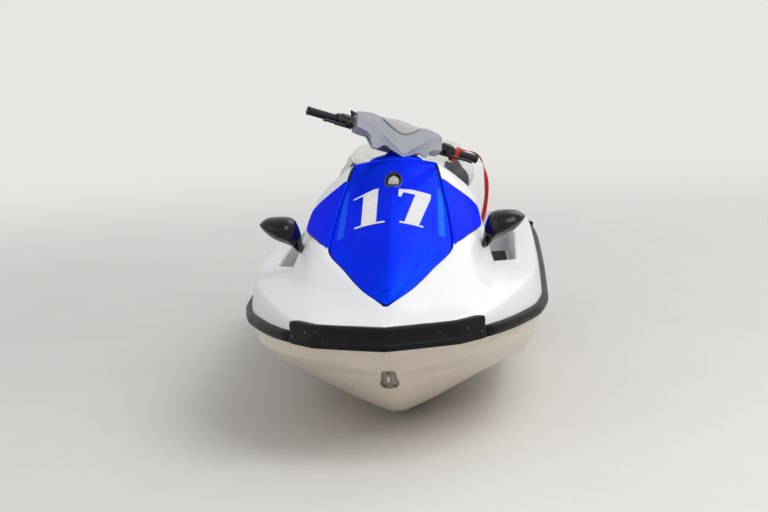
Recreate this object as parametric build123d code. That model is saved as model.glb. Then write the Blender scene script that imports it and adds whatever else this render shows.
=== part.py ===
# A three-seat personal watercraft, standing on its keel as it is parked on shore.
# Millimetres. The bow points to -Y, +X is the craft's port side and +Z is up.
# The origin lies under the middle of the craft, at the level of the ride plate's underside.
# Along the craft, places are given as s, the distance aft of the bumper's tip.
import math
import os

from build123d import *

TRANSOM = 3130
PLATFORM = 90
LENGTH = TRANSOM + PLATFORM
AFT_BODY = TRANSOM - 630
SEAT_END = TRANSOM - 355
PEDESTAL_END = TRANSOM - 295
AFT_DECK = TRANSOM - 270
QUARTER = TRANSOM - 80
STERN = TRANSOM + 60
FIT = 0.3
MOVING_GAP = 5
HINGE_ROOM = 30
FAR = 1000

RAIL_DEPTH = 25
RAIL_HEIGHT = 44
RAIL_FRONT = 226
BUMPER_HEIGHT = 76
BUMPER_TOP = 515
BUMPER_BEND = (262, 105)
BUMPER_END = (350, 205)
STERN_BUMPER = (388, 428)
STERN_BUMPER_INNER = 250

HOOD_THICKNESS = 14
HOOD_GAP = 10
HOOD_DROP = 32
HOOD_FRONT = 180
HOOD_REAR = 1228
HOOD_CREASE = (0.61, 0.72)
HINGE_S = 194
HINGE_Z = 559
HINGE_RADIUS = 6
HINGE_PIN = 2.5
HINGE_LENGTH = 8
HINGE_BORE_REACH = 60
LATCH_S = 1052
LATCH_HALF_WIDTH = 33.7
LATCH_HALF_LENGTH = 69
LATCH_TILT = 16.7
LATCH_WALL = 5.7
LATCH_DEPTH = 22
LATCH_HANDLE = (42, 50)
LATCH_HANDLE_BACK = 24
LATCH_HANDLE_DROP = 3
COWL = (1241, 1332)
COWL_INSET = 2
COWL_THICKNESS = 6
PANEL_THICKNESS = 5
PANEL_SEAT = 1
PANEL_FRONT = 655
PANEL_TURN = 1040
PANEL_REAR = 1105

FOOTWELL_FLOOR = 335
FOOTWELL_FRONT = 1060
FOOTWELL_REAR = TRANSOM - 350
FOOTWELL_RAMP = 130
FOOTWELL_RISE = 90
FOOTWELL_TOP = 640
WELL_LEAN = (4, 16, -12, 2)
TUB_WALL = 8
TUB_END = 2
MAT_THICKNESS = 7
MAT_FRONT = 1240
MAT_GAP = 26
MAT_COUNT = 4
MAT_LENGTH = (FOOTWELL_REAR - 30 - MAT_FRONT - (MAT_COUNT - 1) * MAT_GAP) / MAT_COUNT

BIN_FRONT = 440
BIN_REAR = 880
BIN_HALF_WIDTH = 132
BIN_FLOOR = 345
BIN_WALL = 4
BIN_GAP = 1

ENGINE_LENGTH = 560
ENGINE_WIDTH = 340
ENGINE_HEIGHT = 350
ENGINE_FRONT = 1500
ENGINE_FLOOR = 112
ENGINE_ROOM = 12

COLUMN_TILT = 40
COLUMN_S = 1400
COLUMN_Z = 1035
COLUMN_RADIUS = 22
COLUMN_FOOT = -200
BAR_TURN = 30.8
BAR_RADIUS = 11
BAR_BEND = 150
BAR_REACH = 384
BAR_SWEEP = 25
BAR_RISE = 20
GRIP_LENGTH = 122
GRIP_RADIUS = 17
HOUSING_LENGTH = 65
HOUSING_RADIUS = 24
HOUSING_GAP = 2
COVER_GAP = 4
COVER_FRONT = -65
COVER_DEPTH = 80
COVER_WALL = 8
COVER_LEG_DEPTH = 40
COVER_LEG_HALF_WIDTH = 120
COVER_ARM_UNDERSIDE = -32
HOUSING_END = BAR_REACH - GRIP_LENGTH - HOUSING_GAP
COVER_REACH = HOUSING_END - HOUSING_LENGTH - COVER_GAP
LEVER_TILT = 55
LEVER_OFFSET = 34.4
LEVER_RADIUS = 5.5
LEVER_BOSS = 9
LEVER_PIN = 3
LEVER_PIN_FIT = 0.1
LEVER_EAR = 4
LEVER_SIDE_GAP = 0.6

GLOVE_FRONT = 1432
GLOVE_REAR = 1512
GLOVE_HALF_WIDTH = 66
GLOVE_FLOOR = 760
GLOVE_TOP = 890
GLOVE_WALL = 3
LID_RIM = 10
LID_SEAT = 0.5
LID_THICKNESS = 12
LID_HINGE_S = 1524
LID_HINGE_Z = 905
LID_HINGE_RADIUS = 5
LID_HINGE_LENGTH = 20
LID_PIN = 2

TUNNEL_FRONT = TRANSOM - 510
TUNNEL_HALF_WIDTH = 125
TUNNEL_HEIGHT = 300
INTAKE_REAR = TUNNEL_FRONT - 60
INTAKE_FRONT = INTAKE_REAR - 420
INTAKE_HALF_WIDTH = 75
HULL_JOINTS = (MAT_FRONT, INTAKE_FRONT - 40, TUNNEL_FRONT, FOOTWELL_REAR + 6)
HULL_FLOOR = FOOTWELL_FLOOR - TUB_WALL - 0.5
GRATE_BAR = 10
PLATE_THICKNESS = 8
PUMP_AXIS_Z = 130
PUMP_WALL = 9
FLANGE_THICKNESS = 16
BARREL_END = TRANSOM - 180
CONE_END = TRANSOM - 100
IMPELLER_RADIUS = 77.5
IMPELLER_GAP = 0.6
IMPELLER_BLADES = 3
IMPELLER_TURN = 140
IMPELLER_BLADE = 7
IMPELLER_FRONT = TUNNEL_FRONT + 148
IMPELLER_LENGTH = 92
IMPELLER_HUB = 32
STATOR_VANES = 7
STATOR_TURN = -40
STATOR_VANE = 5
STATOR_LENGTH = 65
STATOR_HUB = 38
BLADE_SECTIONS = 7
SHAFT_RADIUS = 14
NOZZLE_S = TRANSOM - 64
NOZZLE_RADIUS = 44
NOZZLE_WALL = 5
NOZZLE_LENGTH = 96
NOZZLE_PIN = 5
STEER_RATIO = 0.8
NOZZLE_TURN = -BAR_TURN * STEER_RATIO
GATE_S = TRANSOM - 68
GATE_RADIUS = 126
GATE_WALL = 6
GATE_HALF_WIDTH = 98
GATE_PIN = 6
GATE_SECTOR = (28, 60, 92)

STEP_S = TRANSOM + 22
STEP_Z = 172
STEP_HALF_WIDTH = 205
STEP_LENGTH = 195
STEP_TUBE = 11
STEP_PIN = 8
HANDLE_HALF_WIDTH = 130
HANDLE_TOP = 805
HANDLE_TUBE = 13
EYE_S = 176
EYE_Z = 312
EYE_RADIUS = 18
EYE_HOLE = 8
EYE_THICKNESS = 9
STERN_EYE = (380, 290)
STERN_EYE_RADIUS = 24
STERN_EYE_HOLE = 13

# Lines along the craft's port side, as rows of s, half-beam x and height z.
BOND = [(32, 3, 474), (79, 125, 470), (126, 247, 466), (173, 289, 463), (221, 331, 461),
        (345, 402, 456), (515, 472, 451), (740, 535, 444), (1000, 560, 440),
        (1600, 562, 434), (AFT_BODY, 555, 420), (QUARTER, 535, 408), (TRANSOM, 515, 405),
        (STERN, 465, 404)]
KNUCKLE = [(32, 2.5, 472), (79, 7, 424), (126, 12, 376), (173, 140, 370), (221, 215, 367),
           (345, 345, 360), (515, 440, 352), (740, 515, 343), (1100, 545, 330),
           (1600, 547, 322), (AFT_BODY, 540, 310), (TRANSOM, 500, 298)]
CHINE = [(32, 2, 470), (79, 6, 422), (126, 10, 374), (173, 14, 322), (221, 60, 312),
         (345, 185, 297), (515, 315, 280), (740, 405, 255), (1100, 490, 215),
         (1600, 500, 200), (TRANSOM, 490, 195)]
BILGE = [(32, 1.5, 468), (79, 4, 420), (126, 6, 372), (173, 9, 318), (221, 30, 288),
         (345, 95, 245), (515, 165, 200), (740, 220, 150), (1100, 260, 115),
         (1600, 265, 105), (TRANSOM, 265, 105)]
KEEL = [(32, 1, 466), (79, 2, 419), (126, 3, 370), (173, 5, 313), (221, 9, 272),
        (345, 16, 200), (515, 20, 120), (610, 22, 90), (740, 24, 57), (900, 27, 26),
        (1100, 32, 6), (1250, 42, 0), (1500, 62, 0), (1900, 105, 0), (TRANSOM, 105, 0)]
GUNWALE = [(32, 3, 507), (79, 125, 510), (126, 247, 513), (173, 289, 512), (221, 326, 510),
           (345, 388, 520), (515, 452, 535), (740, 512, 552), (900, 532, 560),
           (1060, 538, 562), (1600, 540, 552), (AFT_BODY, 530, 520), (AFT_DECK, 518, 486),
           (QUARTER, 508, 462), (TRANSOM, 490, 453), (STERN, 445, 448)]
COAMING = [(32, 2.4, 508), (126, 215, 518), (221, 285, 524), (345, 335, 540),
           (515, 392, 562), (740, 445, 572), (900, 468, 574), (1060, 472, 572),
           (1600, 474, 562), (AFT_BODY, 464, 530), (AFT_DECK, 452, 490), (QUARTER, 440, 466),
           (TRANSOM, 425, 457), (STERN, 385, 452)]
CHANNEL = [(32, 1.8, 509), (126, 170, 523), (221, 225, 536), (345, 275, 560),
           (515, 335, 590), (740, 378, 600), (900, 376, 588), (1060, 345, 565),
           (1500, 268, 545), (AFT_BODY, 310, 540), (PEDESTAL_END, 320, 530),
           (AFT_DECK, 320, 490), (QUARTER, 320, 466), (TRANSOM, 310, 457), (STERN, 300, 452)]
SHOULDER = [(32, 1.2, 510), (126, 110, 527), (221, 150, 545), (345, 200, 577),
            (515, 275, 632), (655, 318, 672), (740, 335, 690), (946, 335, 732),
            (1100, 318, 788), (1236, 285, 840), (1330, 255, 850), (1420, 235, 835),
            (1530, 222, 800), (1552, 216, 720), (1585, 213, 668), (AFT_BODY, 258, 668),
            (PEDESTAL_END, 258, 668), (AFT_DECK, 258, 490), (QUARTER, 255, 466),
            (TRANSOM, 250, 457), (STERN, 240, 452)]
LIP = [(32, 0.6, 511), (126, 5, 540), (162, 8, 562), (300, 95, 600), (450, 160, 640),
       (655, 236, 700), (850, 223, 775), (1044, 197, 861), (1236, 167, 936),
       (1330, 150, 915), (1420, 142, 905), (1530, 140, 893), (1552, 142, 735),
       (1585, 148, 694), (1700, 160, 668), (PEDESTAL_END, 190, 668), (AFT_DECK, 190, 490),
       (QUARTER, 188, 466), (TRANSOM, 185, 457), (STERN, 180, 452)]
# The hood's ridge; its edge lies inside the lip, and its crease between the two.
RIDGE = [(162, 0, 571), (300, 0, 634), (450, 0, 696), (655, 0, 774), (850, 0, 844),
         (1044, 0, 907), (1236, 0, 962)]
# The seat's cushions, as rows of s, half-width x and, but for the base, height z.
FRONT_SEAT = (1555, 2080)
REAR_SEAT = (2084, SEAT_END)
SEAT_BASE = [(1555, 118), (1700, 178), (2080, 225), (AFT_BODY, 250), (SEAT_END, 225)]
SEAT_FLARE = [(1555, 124, 795), (1700, 188, 760), (2080, 238, 755), (2110, 292, 758),
              (2250, 312, 765), (AFT_BODY, 306, 765), (SEAT_END, 262, 755)]
SEAT_SHOULDER = [(1555, 95, 862), (1700, 136, 842), (2080, 170, 850), (2110, 220, 868),
                 (2250, 238, 880), (AFT_BODY, 230, 878), (SEAT_END, 200, 862)]
SEAT_CROWN = [(1555, 0, 878), (1700, 0, 862), (2080, 0, 866), (2110, 0, 886),
              (AFT_BODY, 0, 898), (SEAT_END, 0, 882)]
SEAT_STATIONS = [1585, 1640, 1700, 1900, 2112, 2250, AFT_BODY, AFT_BODY + 150]

HULL_STATIONS = [32, 79, 126, 173, 221, 285, 345, 430, 515, 625, 740, 900, 1100, 1250,
                 1600, 1900, AFT_BODY, QUARTER, TRANSOM]
DECK_STATIONS = [32, 79, 126, 162, 221, 285, 345, 430, 515, 655, 740, 850, 946, 1060, 1150,
                 1236, 1330, 1420, 1530, 1552, 1585, 1700, 1900, AFT_BODY, PEDESTAL_END,
                 AFT_DECK, QUARTER, TRANSOM, STERN]
HOOD_STATIONS = [HOOD_FRONT, 221, 300, 430, 515, 655, 740, 850, 946, 1060, 1150, HOOD_REAR]

# Where the side panel's outer edge lies between the lip (0) and the shoulder (1), by s.
PANEL_SHARE = [(PANEL_FRONT, 0.04), (760, 0.4), (946, 1), (PANEL_TURN, 1), (PANEL_REAR, 0.05)]
# The port mirror's sections, front to back: s, then its corners' x and z.
MIRROR_POD = [(742, [(368, 712), (380, 752), (452, 764), (458, 758), (420, 728)]),
              (790, [(350, 682), (368, 786), (490, 784), (506, 768), (430, 712)]),
              (832, [(356, 694), (368, 784), (486, 782), (502, 768), (430, 716)])]
MIRROR_FOOT = [(716, [(333, 672), (333, 700), (352, 700), (362, 684)]),
               (806, [(333, 672), (333, 712), (372, 730), (388, 700)])]
# The handlebar cover's outline in the bar's plane, as rows of x and z from its top's middle.
COVER_OUTLINE = [(60, 52), (120, 40), (COVER_REACH, 36), (COVER_REACH, -24), (128, -30),
                 (112, -84), (60, -70)]
COVER_TIP = -136
COVER_HOLLOW = [(56, 40), (104, -20), (104, -150)]
# The fairing's rings on the column's axis, as rows of height and radius.
FAIRING = [(-175, 52), (-135, 50), (-100, 42), (-88, 34)]
# A lever's line from its pin, as rows of x and y in the bar's frame.
LEVER_LINE = [(0, 0), (24, -22), (86, -16), (106, -24)]

# A sponson's corners, as rows of x and z off the chine, and its stations ahead of the transom.
SPONSON_CORNERS = [(-6, 26), (4, 2), (44, -2), (46, 10), (22, 60)]
SPONSON_AHEAD = (830, 770, 250, 170)

# The lanyard's route from the bar to its clip, which hangs free.
LANYARD_RADIUS = 4
LANYARD = [(239.5, -67.4, 958.5), (271, -45, 950), (305, -22, 941), (337, -9, 913),
           (351, -13, 865), (357, -20, 812), (355, -19, 758), (346, -21, 706),
           (334, -19, 656), (327, -20, 608)]
LANYARD_LOOP = (4, 26)
LANYARD_CLIP = (20, 12, 32)


def at(s):
    return s - LENGTH / 2


COLUMN = Plane(origin=(0, at(COLUMN_S), COLUMN_Z), x_dir=(1, 0, 0),
               z_dir=(0, math.sin(math.radians(COLUMN_TILT)), math.cos(math.radians(COLUMN_TILT))))


def slopes(rows, column):
    steps = [(b[column] - a[column]) / (b[0] - a[0]) for a, b in zip(rows, rows[1:])]
    inner = [0 if a * b <= 0 else 2 * a * b / (a + b) for a, b in zip(steps, steps[1:])]
    return [steps[0]] + inner + [steps[-1]]


def value(rows, column, s):
    """A smooth curve through the rows that never runs past their values."""
    s = min(max(s, rows[0][0]), rows[-1][0])
    i = max(k for k in range(len(rows) - 1) if rows[k][0] <= s)
    a, b = rows[i], rows[i + 1]
    span = b[0] - a[0]
    t = (s - a[0]) / span
    m = slopes(rows, column)
    return ((2 * t**3 - 3 * t**2 + 1) * a[column] + (t**3 - 2 * t**2 + t) * span * m[i]
            + (3 * t**2 - 2 * t**3) * b[column] + (t**3 - t**2) * span * m[i + 1])


def line(rows, dx=0, dz=0):
    return lambda s: (value(rows, 1, s) + dx, value(rows, 2, s) + dz)


def on_deck(rows, dx=0, dz=0):
    """A line on the deck's moulded surface, which is straight from station to station."""
    def place(s):
        low = max(k for k in DECK_STATIONS if k <= s)
        high = min(k for k in DECK_STATIONS if k >= s)
        t = (s - low) / (high - low) if high > low else 0
        x, z = ((1 - t) * value(rows, c, low) + t * value(rows, c, high) for c in (1, 2))
        return x + dx, z + dz
    return place


def skin(lines, stations):
    """A solid across the whole craft, from lines along its port side, lowest first."""
    rings = []
    for s in stations:
        half = [edge(s) for edge in lines]
        ring = half + [(-x, z) for x, z in reversed(half) if x > 0]
        rings.append(Wire.make_polygon([(x, at(s), z) for x, z in ring]))
    return Solid.make_loft(rings, ruled=True)


def strip(lines, stations):
    """A solid on the port side only, from the lines at the corners of its section."""
    return sections([(s, [edge(s) for edge in lines]) for s in stations])


def sections(rows):
    """A solid lofted through rows of s and the corners of its section there."""
    return Solid.make_loft([Wire.make_polygon([(x, at(s), z) for x, z in corners])
                            for s, corners in rows], ruled=True)


def both(solid):
    return [solid, mirror(solid, about=Plane.YZ)]


def block(x, s, z):
    """A box from its ranges across, along and up."""
    size = Box(x[1] - x[0], s[1] - s[0], z[1] - z[0], align=Align.MIN)
    return Pos(x[0], at(s[0]), z[0]) * size


def upright(radius, height):
    return Cylinder(radius, height, align=(Align.CENTER, Align.CENTER, Align.MIN))


def rod(p, q, radius, bore=0):
    """A round bar, or a sleeve if it has a bore, from p to q."""
    p, q = Vector(*p), Vector(*q)
    bar = upright(radius, (q - p).length)
    if bore:
        bar -= upright(bore, (q - p).length)
    return Plane(origin=p, z_dir=q - p).location * bar


def across(half_length, s, z, radius):
    """A round bar from side to side."""
    return rod((-half_length, at(s), z), (half_length, at(s), z), radius)


def along(start, end, radius, bore=0):
    """A round bar or sleeve on the pump's axis."""
    return rod((0, at(start), PUMP_AXIS_Z), (0, at(end), PUMP_AXIS_Z), radius, bore)


def funnel(start, end):
    """A cone on the pump's axis, between its s and radius at each end."""
    return Solid.make_loft([
        Plane(origin=(0, at(s), PUMP_AXIS_Z), z_dir=(0, 1, 0)).location * Wire.make_circle(radius)
        for s, radius in (start, end)])


def between(stations, low, high):
    return [low] + [s for s in stations if low + 5 < s < high - 5] + [high]


def profile(points, half_width):
    """A solid extruded across the craft from an outline of s and z."""
    outline = make_face(Polyline(*[(at(s), z) for s, z in points], close=True))
    return Pos(-half_width, 0, 0) * (Plane.YZ * extrude(outline, 2 * half_width))


def plan(points, low, high):
    """A solid extruded upward from an outline of x and s."""
    outline = make_face(Polyline(*[(x, at(s)) for x, s in points], close=True))
    return Pos(0, 0, low) * extrude(outline, high - low)


def tube(points, fillet, radius):
    path = FilletPolyline(*points, radius=fillet)
    return sweep(Plane(origin=path @ 0, z_dir=path % 0) * Circle(radius), path=path)


PARTS = {}


def keep(name, *solids):
    PARTS[name] = [solid for item in solids for solid in item.solids()]


def well_floor(s):
    ramp = max(0, FOOTWELL_FRONT + FOOTWELL_RAMP - s) / FOOTWELL_RAMP
    return FOOTWELL_FLOOR + FOOTWELL_RISE * ramp


def footwell(grow):
    """The space of the port footwell, grown by a wall."""
    top_out, low_out, low_in, top_in = WELL_LEAN
    edges = [lambda s: (value(COAMING, 1, s) - top_out + grow, FOOTWELL_TOP),
             lambda s: (value(COAMING, 1, s) - low_out + grow, well_floor(s) - grow),
             lambda s: (value(CHANNEL, 1, s) + low_in - grow, well_floor(s) - grow),
             lambda s: (value(CHANNEL, 1, s) + top_in - grow, FOOTWELL_TOP)]
    return strip(edges, between(DECK_STATIONS, FOOTWELL_FRONT - grow, FOOTWELL_REAR + grow))


def side_room(gap):
    """All that lies outboard of the port footwell's inner wall, over the well's length."""
    _, _, low_in, top_in = WELL_LEAN
    edges = [lambda s: (value(CHANNEL, 1, s) + top_in + gap, FAR),
             lambda s: (value(CHANNEL, 1, s) + top_in + gap, FOOTWELL_TOP),
             lambda s: (value(CHANNEL, 1, s) + low_in + gap, well_floor(s)),
             lambda s: (value(CHANNEL, 1, s) + low_in + gap, 0),
             lambda s: (FAR, 0), lambda s: (FAR, FAR)]
    reach = TUB_WALL + TUB_END - gap
    return strip(edges, between(DECK_STATIONS, FOOTWELL_FRONT - reach, FOOTWELL_REAR + reach))


def ledge(s):
    """The inner foot of the hood's ledge, below the lip along the hood."""
    x, z = value(LIP, 1, s), value(LIP, 2, s)
    drop = HOOD_DROP * min(1, max(0, (s - 126) / 36)) if s < HOOD_REAR + 10 else 0
    return (x - 0.5 if s > 126 else x * 0.8, z - drop)


def engine_bay():
    room = ENGINE_WIDTH / 2 + ENGINE_ROOM
    return block((-room, room), (ENGINE_FRONT - ENGINE_ROOM, ENGINE_FRONT + ENGINE_LENGTH + ENGINE_ROOM),
                 (ENGINE_FLOOR, ENGINE_FLOOR + ENGINE_HEIGHT + 2 * ENGINE_ROOM))


def bin_hole():
    x = BIN_HALF_WIDTH + BIN_GAP
    return block((-x, x), (BIN_FRONT, BIN_REAR), (BIN_FLOOR, FAR))


def column_space(radius):
    return COLUMN.location * Pos(0, 0, COLUMN_FOOT - 1) * upright(radius, 240)


def make_hull():
    hull = skin([line(KEEL), line(BILGE), line(CHINE), line(KNUCKLE), line(BOND)], HULL_STATIONS)
    for tub in both(footwell(TUB_WALL + FIT)):
        hull -= tub
    hull -= bin_hole() + engine_bay()
    hull -= block((-TUNNEL_HALF_WIDTH, TUNNEL_HALF_WIDTH), (TUNNEL_FRONT, TRANSOM + 1),
                  (-1, TUNNEL_HEIGHT))
    top = PUMP_AXIS_Z + IMPELLER_RADIUS
    bottom = PUMP_AXIS_Z - IMPELLER_RADIUS
    duct = [(INTAKE_FRONT, -1), (INTAKE_REAR, -1), (TUNNEL_FRONT + 1, bottom),
            (TUNNEL_FRONT + 1, top), (INTAKE_REAR - 60, top - 10), (INTAKE_FRONT + 30, 25)]
    hull -= profile(duct, INTAKE_HALF_WIDTH)
    hull -= along(ENGINE_FRONT + ENGINE_LENGTH, INTAKE_REAR, SHAFT_RADIUS + MOVING_GAP)
    pieces = []
    low, high, whole = (-1, HULL_FLOOR), (HULL_FLOOR + FIT, FAR), (-1, FAR)
    x = INTAKE_HALF_WIDTH
    for start, end in zip((0, *HULL_JOINTS), (*HULL_JOINTS, LENGTH)):
        beside_wells = start > 0 and end < LENGTH
        for level in (low, high) if beside_wells else (whole,):
            over_duct = level == low and start < INTAKE_REAR < end
            widths = [(-FAR, -x), (FIT - x, x - FIT), (x, FAR)] if over_duct else [(-FAR, FAR)]
            pieces += [hull & block(width, (start + FIT, end), level) for width in widths]
    keep("hull", *pieces)


def make_decks():
    lines = [line(BOND, 0, FIT), line(GUNWALE), line(COAMING), line(CHANNEL), line(SHOULDER),
             line(LIP), ledge]
    deck = skin(lines, DECK_STATIONS)
    for tub in both(footwell(TUB_WALL)):
        deck += tub & block((-FAR, FAR), (0, LENGTH), (0, value(BOND, 2, FOOTWELL_FRONT) + 30))
    for well in both(footwell(0)):
        deck -= well
    deck -= bin_hole() + engine_bay()
    deck -= column_space(COLUMN_RADIUS + FIT)
    deck -= block((-GLOVE_HALF_WIDTH, GLOVE_HALF_WIDTH), (GLOVE_FRONT, GLOVE_REAR), (GLOVE_FLOOR, FAR))
    notch = 1.5 * HINGE_LENGTH + 3
    deck -= block((-notch, notch), (HINGE_S - 2 * HINGE_RADIUS, HINGE_S + 2 * HINGE_RADIUS),
                  (on_deck(LIP, 0, -HOOD_DROP)(HINGE_S + HINGE_RADIUS)[1], FAR))
    front = FOOTWELL_FRONT - TUB_WALL - TUB_END
    keep("foredeck", deck & block((-FAR, FAR), (0, front), (0, FAR)))
    aft = deck & block((-FAR, FAR), (front + FIT, LENGTH), (0, FAR))
    for room in both(side_room(0)):
        aft -= room
    keep("aft_deck", aft)
    keep("side_decks", *[deck & room for room in both(side_room(FIT))])


def make_rail():
    half, depth = RAIL_HEIGHT / 2, RAIL_DEPTH
    lines = [line(BOND, FIT, -half), line(BOND, 0.88 * depth, -0.76 * half),
             line(BOND, depth, 0.2 * half), line(BOND, 0.72 * depth, 0.76 * half),
             line(BOND, FIT, half)]
    stations = between(sorted(set(HULL_STATIONS + DECK_STATIONS)), RAIL_FRONT, QUARTER)
    keep("gunwale_rail", *both(strip(lines, stations)))


def make_bumper():
    inner = [(value(BOND, 1, s) + 2 * FIT, s - FIT) for s in (221, 173, 162, 126, 79)]
    ring = [(-x, s) for x, s in (BUMPER_END, BUMPER_BEND)] + [(0, 0), BUMPER_BEND, BUMPER_END]
    ring += inner + [(0, 30)] + [(-x, s) for x, s in reversed(inner)]
    keep("bow_bumper", plan(ring, BUMPER_TOP - BUMPER_HEIGHT, BUMPER_TOP))


def make_stern_bumper():
    front = QUARTER + 6
    inner = [(value(BOND, 1, s) + FIT, s + FIT) for s in (front, TRANSOM, STERN)]
    inner.append((STERN_BUMPER_INNER, STERN + FIT))
    outer = [(STERN_BUMPER_INNER, LENGTH), (470, LENGTH - 4), (528, TRANSOM + 30), (562, front)]
    keep("stern_bumper", *both(plan(inner + outer, *STERN_BUMPER)))


def make_panels():
    def corner(outer, out):
        def place(s):
            (hx, hz), (px, pz) = on_deck(LIP)(s), on_deck(SHOULDER)(s)
            reach = math.hypot(px - hx, pz - hz)
            nx, nz = (hz - pz) / reach, (px - hx) / reach
            t = value(PANEL_SHARE, 1, s) if outer else 0
            return (hx + t * (px - hx) + nx * out, hz + t * (pz - hz) + nz * out)
        return place

    edges = [corner(True, PANEL_SEAT), corner(False, PANEL_SEAT), corner(False, PANEL_THICKNESS),
             corner(True, PANEL_THICKNESS)]
    stations = sorted(DECK_STATIONS + [PANEL_TURN])
    panel = strip(edges, between(stations, PANEL_FRONT, PANEL_REAR))
    keep("side_panels", *both(panel - PARTS["foredeck"][0] - PARTS["aft_deck"][0]))


def make_hood():
    def crease(dz):
        def place(s):
            (ex, ez), (_, rz) = line(LIP, -HOOD_GAP)(s), line(RIDGE)(s)
            return HOOD_CREASE[0] * ex, ez + HOOD_CREASE[1] * (rz - ez) + dz
        return place

    lines = [line(RIDGE, 0, -HOOD_THICKNESS), crease(-HOOD_THICKNESS),
             line(LIP, -HOOD_GAP, -HOOD_THICKNESS), line(LIP, -HOOD_GAP), crease(0), line(RIDGE)]
    hood = skin(lines, HOOD_STATIONS)
    hood -= latch_oval(FIT, 4 * LATCH_DEPTH, 2 * LATCH_DEPTH)
    half = HINGE_LENGTH / 2
    for x in (-HINGE_LENGTH, HINGE_LENGTH):
        hood -= block((x - half - 1, x + half + 1), (HINGE_S - 2 * HINGE_RADIUS, HINGE_S + 2 * HINGE_RADIUS),
                      (HINGE_Z - HINGE_ROOM, HINGE_Z + HINGE_RADIUS + MOVING_GAP))
    web = block((-half, half), (HINGE_S - 4, HINGE_S + 4), (HINGE_Z, value(RIDGE, 2, HINGE_S) - 6))
    hood += across(half, HINGE_S, HINGE_Z, HINGE_RADIUS) + web
    hood -= across(HINGE_BORE_REACH, HINGE_S, HINGE_Z, HINGE_PIN + 0.1)
    keep("hood", hood)


def latch_place():
    return Pos(0, at(LATCH_S), value(RIDGE, 2, LATCH_S)) * Rot(LATCH_TILT, 0, 0)


def latch_oval(grow, depth, above=0):
    """An oval solid square to the hood's ridge, from a height above it down."""
    oval = Ellipse(LATCH_HALF_WIDTH + grow, LATCH_HALF_LENGTH + grow)
    return latch_place() * Pos(0, 0, above - depth) * extrude(oval, depth)


def make_latch():
    cup = latch_oval(0, LATCH_DEPTH)
    cup -= latch_oval(-LATCH_WALL, LATCH_DEPTH - LATCH_WALL)
    handle = Box(*LATCH_HANDLE, LATCH_DEPTH - LATCH_HANDLE_DROP,
                 align=(Align.CENTER, Align.CENTER, Align.MAX))
    keep("hood_latch", cup + latch_place() * Pos(0, LATCH_HANDLE_BACK, -LATCH_HANDLE_DROP) * handle)


def make_hood_hinge():
    half = HINGE_LENGTH / 2
    hinge = across(HINGE_LENGTH + half, HINGE_S, HINGE_Z, HINGE_PIN)
    for x in (-HINGE_LENGTH, HINGE_LENGTH):
        hinge += rod((x - half + FIT, at(HINGE_S), HINGE_Z), (x + half - FIT, at(HINGE_S), HINGE_Z),
                     HINGE_RADIUS)
        hinge += block((x - half + FIT, x + half - FIT), (HINGE_S - HINGE_RADIUS, HINGE_S + HINGE_RADIUS),
                       (on_deck(LIP, 0, FIT - HOOD_DROP)(HINGE_S + HINGE_RADIUS)[1], HINGE_Z))
    keep("hood_hinge", hinge)


def make_bin():
    x, front, rear = BIN_HALF_WIDTH, BIN_FRONT + BIN_GAP, BIN_REAR - BIN_GAP
    outer = block((-x, x), (front, rear), (BIN_FLOOR + FIT, FAR))
    inner = block((BIN_WALL - x, x - BIN_WALL), (front + BIN_WALL, rear - BIN_WALL),
                  (BIN_FLOOR + BIN_WALL, FAR))
    brim = [(s, value(LIP, 2, s) - HOOD_DROP - drop) for s, drop in ((front - 40, 0), (rear + 40, 8))]
    above = [(rear + 40, 2 * FAR), (front - 40, 2 * FAR)]
    keep("storage_bin", outer - inner - profile(brim + above, FAR))


def make_seats():
    def base(s):
        return value(SEAT_BASE, 1, s), on_deck(LIP, 0, FIT)(s)[1]

    lines = [base, line(SEAT_FLARE), line(SEAT_SHOULDER), line(SEAT_CROWN)]
    for name, (start, end) in (("seat_front", FRONT_SEAT), ("seat_rear", REAR_SEAT)):
        keep(name, skin(lines, between(SEAT_STATIONS, start, end)))


def make_grab_handle():
    x, top, back = HANDLE_HALF_WIDTH, HANDLE_TOP, PEDESTAL_END - 23
    foot = value(LIP, 2, back) + FIT
    half = [(x, at(back), foot - HANDLE_TUBE), (x, at(back + 4), top - 45), (x, at(back + 45), top)]
    bar = tube(half + [(-x, y, z) for x, y, z in reversed(half)], 22, HANDLE_TUBE)
    bar -= block((-2 * x, 2 * x), (back - 40, back + 40), (foot - 60, foot))
    keep("grab_handle", bar)


def make_mirrors():
    mirror_pod = sections(MIRROR_POD) + sections(MIRROR_FOOT)
    keep("mirrors", *both(mirror_pod - PARTS["foredeck"][0]))


def steered(shape):
    """Places a piece that is drawn in the column's frame with the bar straight ahead."""
    return COLUMN.location * Rot(0, 0, BAR_TURN) * shape


def bar_point(side, x):
    t = (x - BAR_BEND) / (BAR_REACH - BAR_BEND)
    return (side * x, BAR_SWEEP * t, BAR_RISE * t)


def on_bar(side, start, end, radius, bore=BAR_RADIUS + 0.1):
    return rod(bar_point(side, start), bar_point(side, end), radius, bore)


def make_handlebar():
    half = [bar_point(1, BAR_REACH), bar_point(1, BAR_BEND)]
    bar = tube(half + [(-x, y, z) for x, y, z in reversed(half)], 60, BAR_RADIUS)
    stem = Pos(0, 0, COLUMN_FOOT) * upright(COLUMN_RADIUS, -COLUMN_FOOT)
    keep("handlebar", steered(bar + stem))


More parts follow.
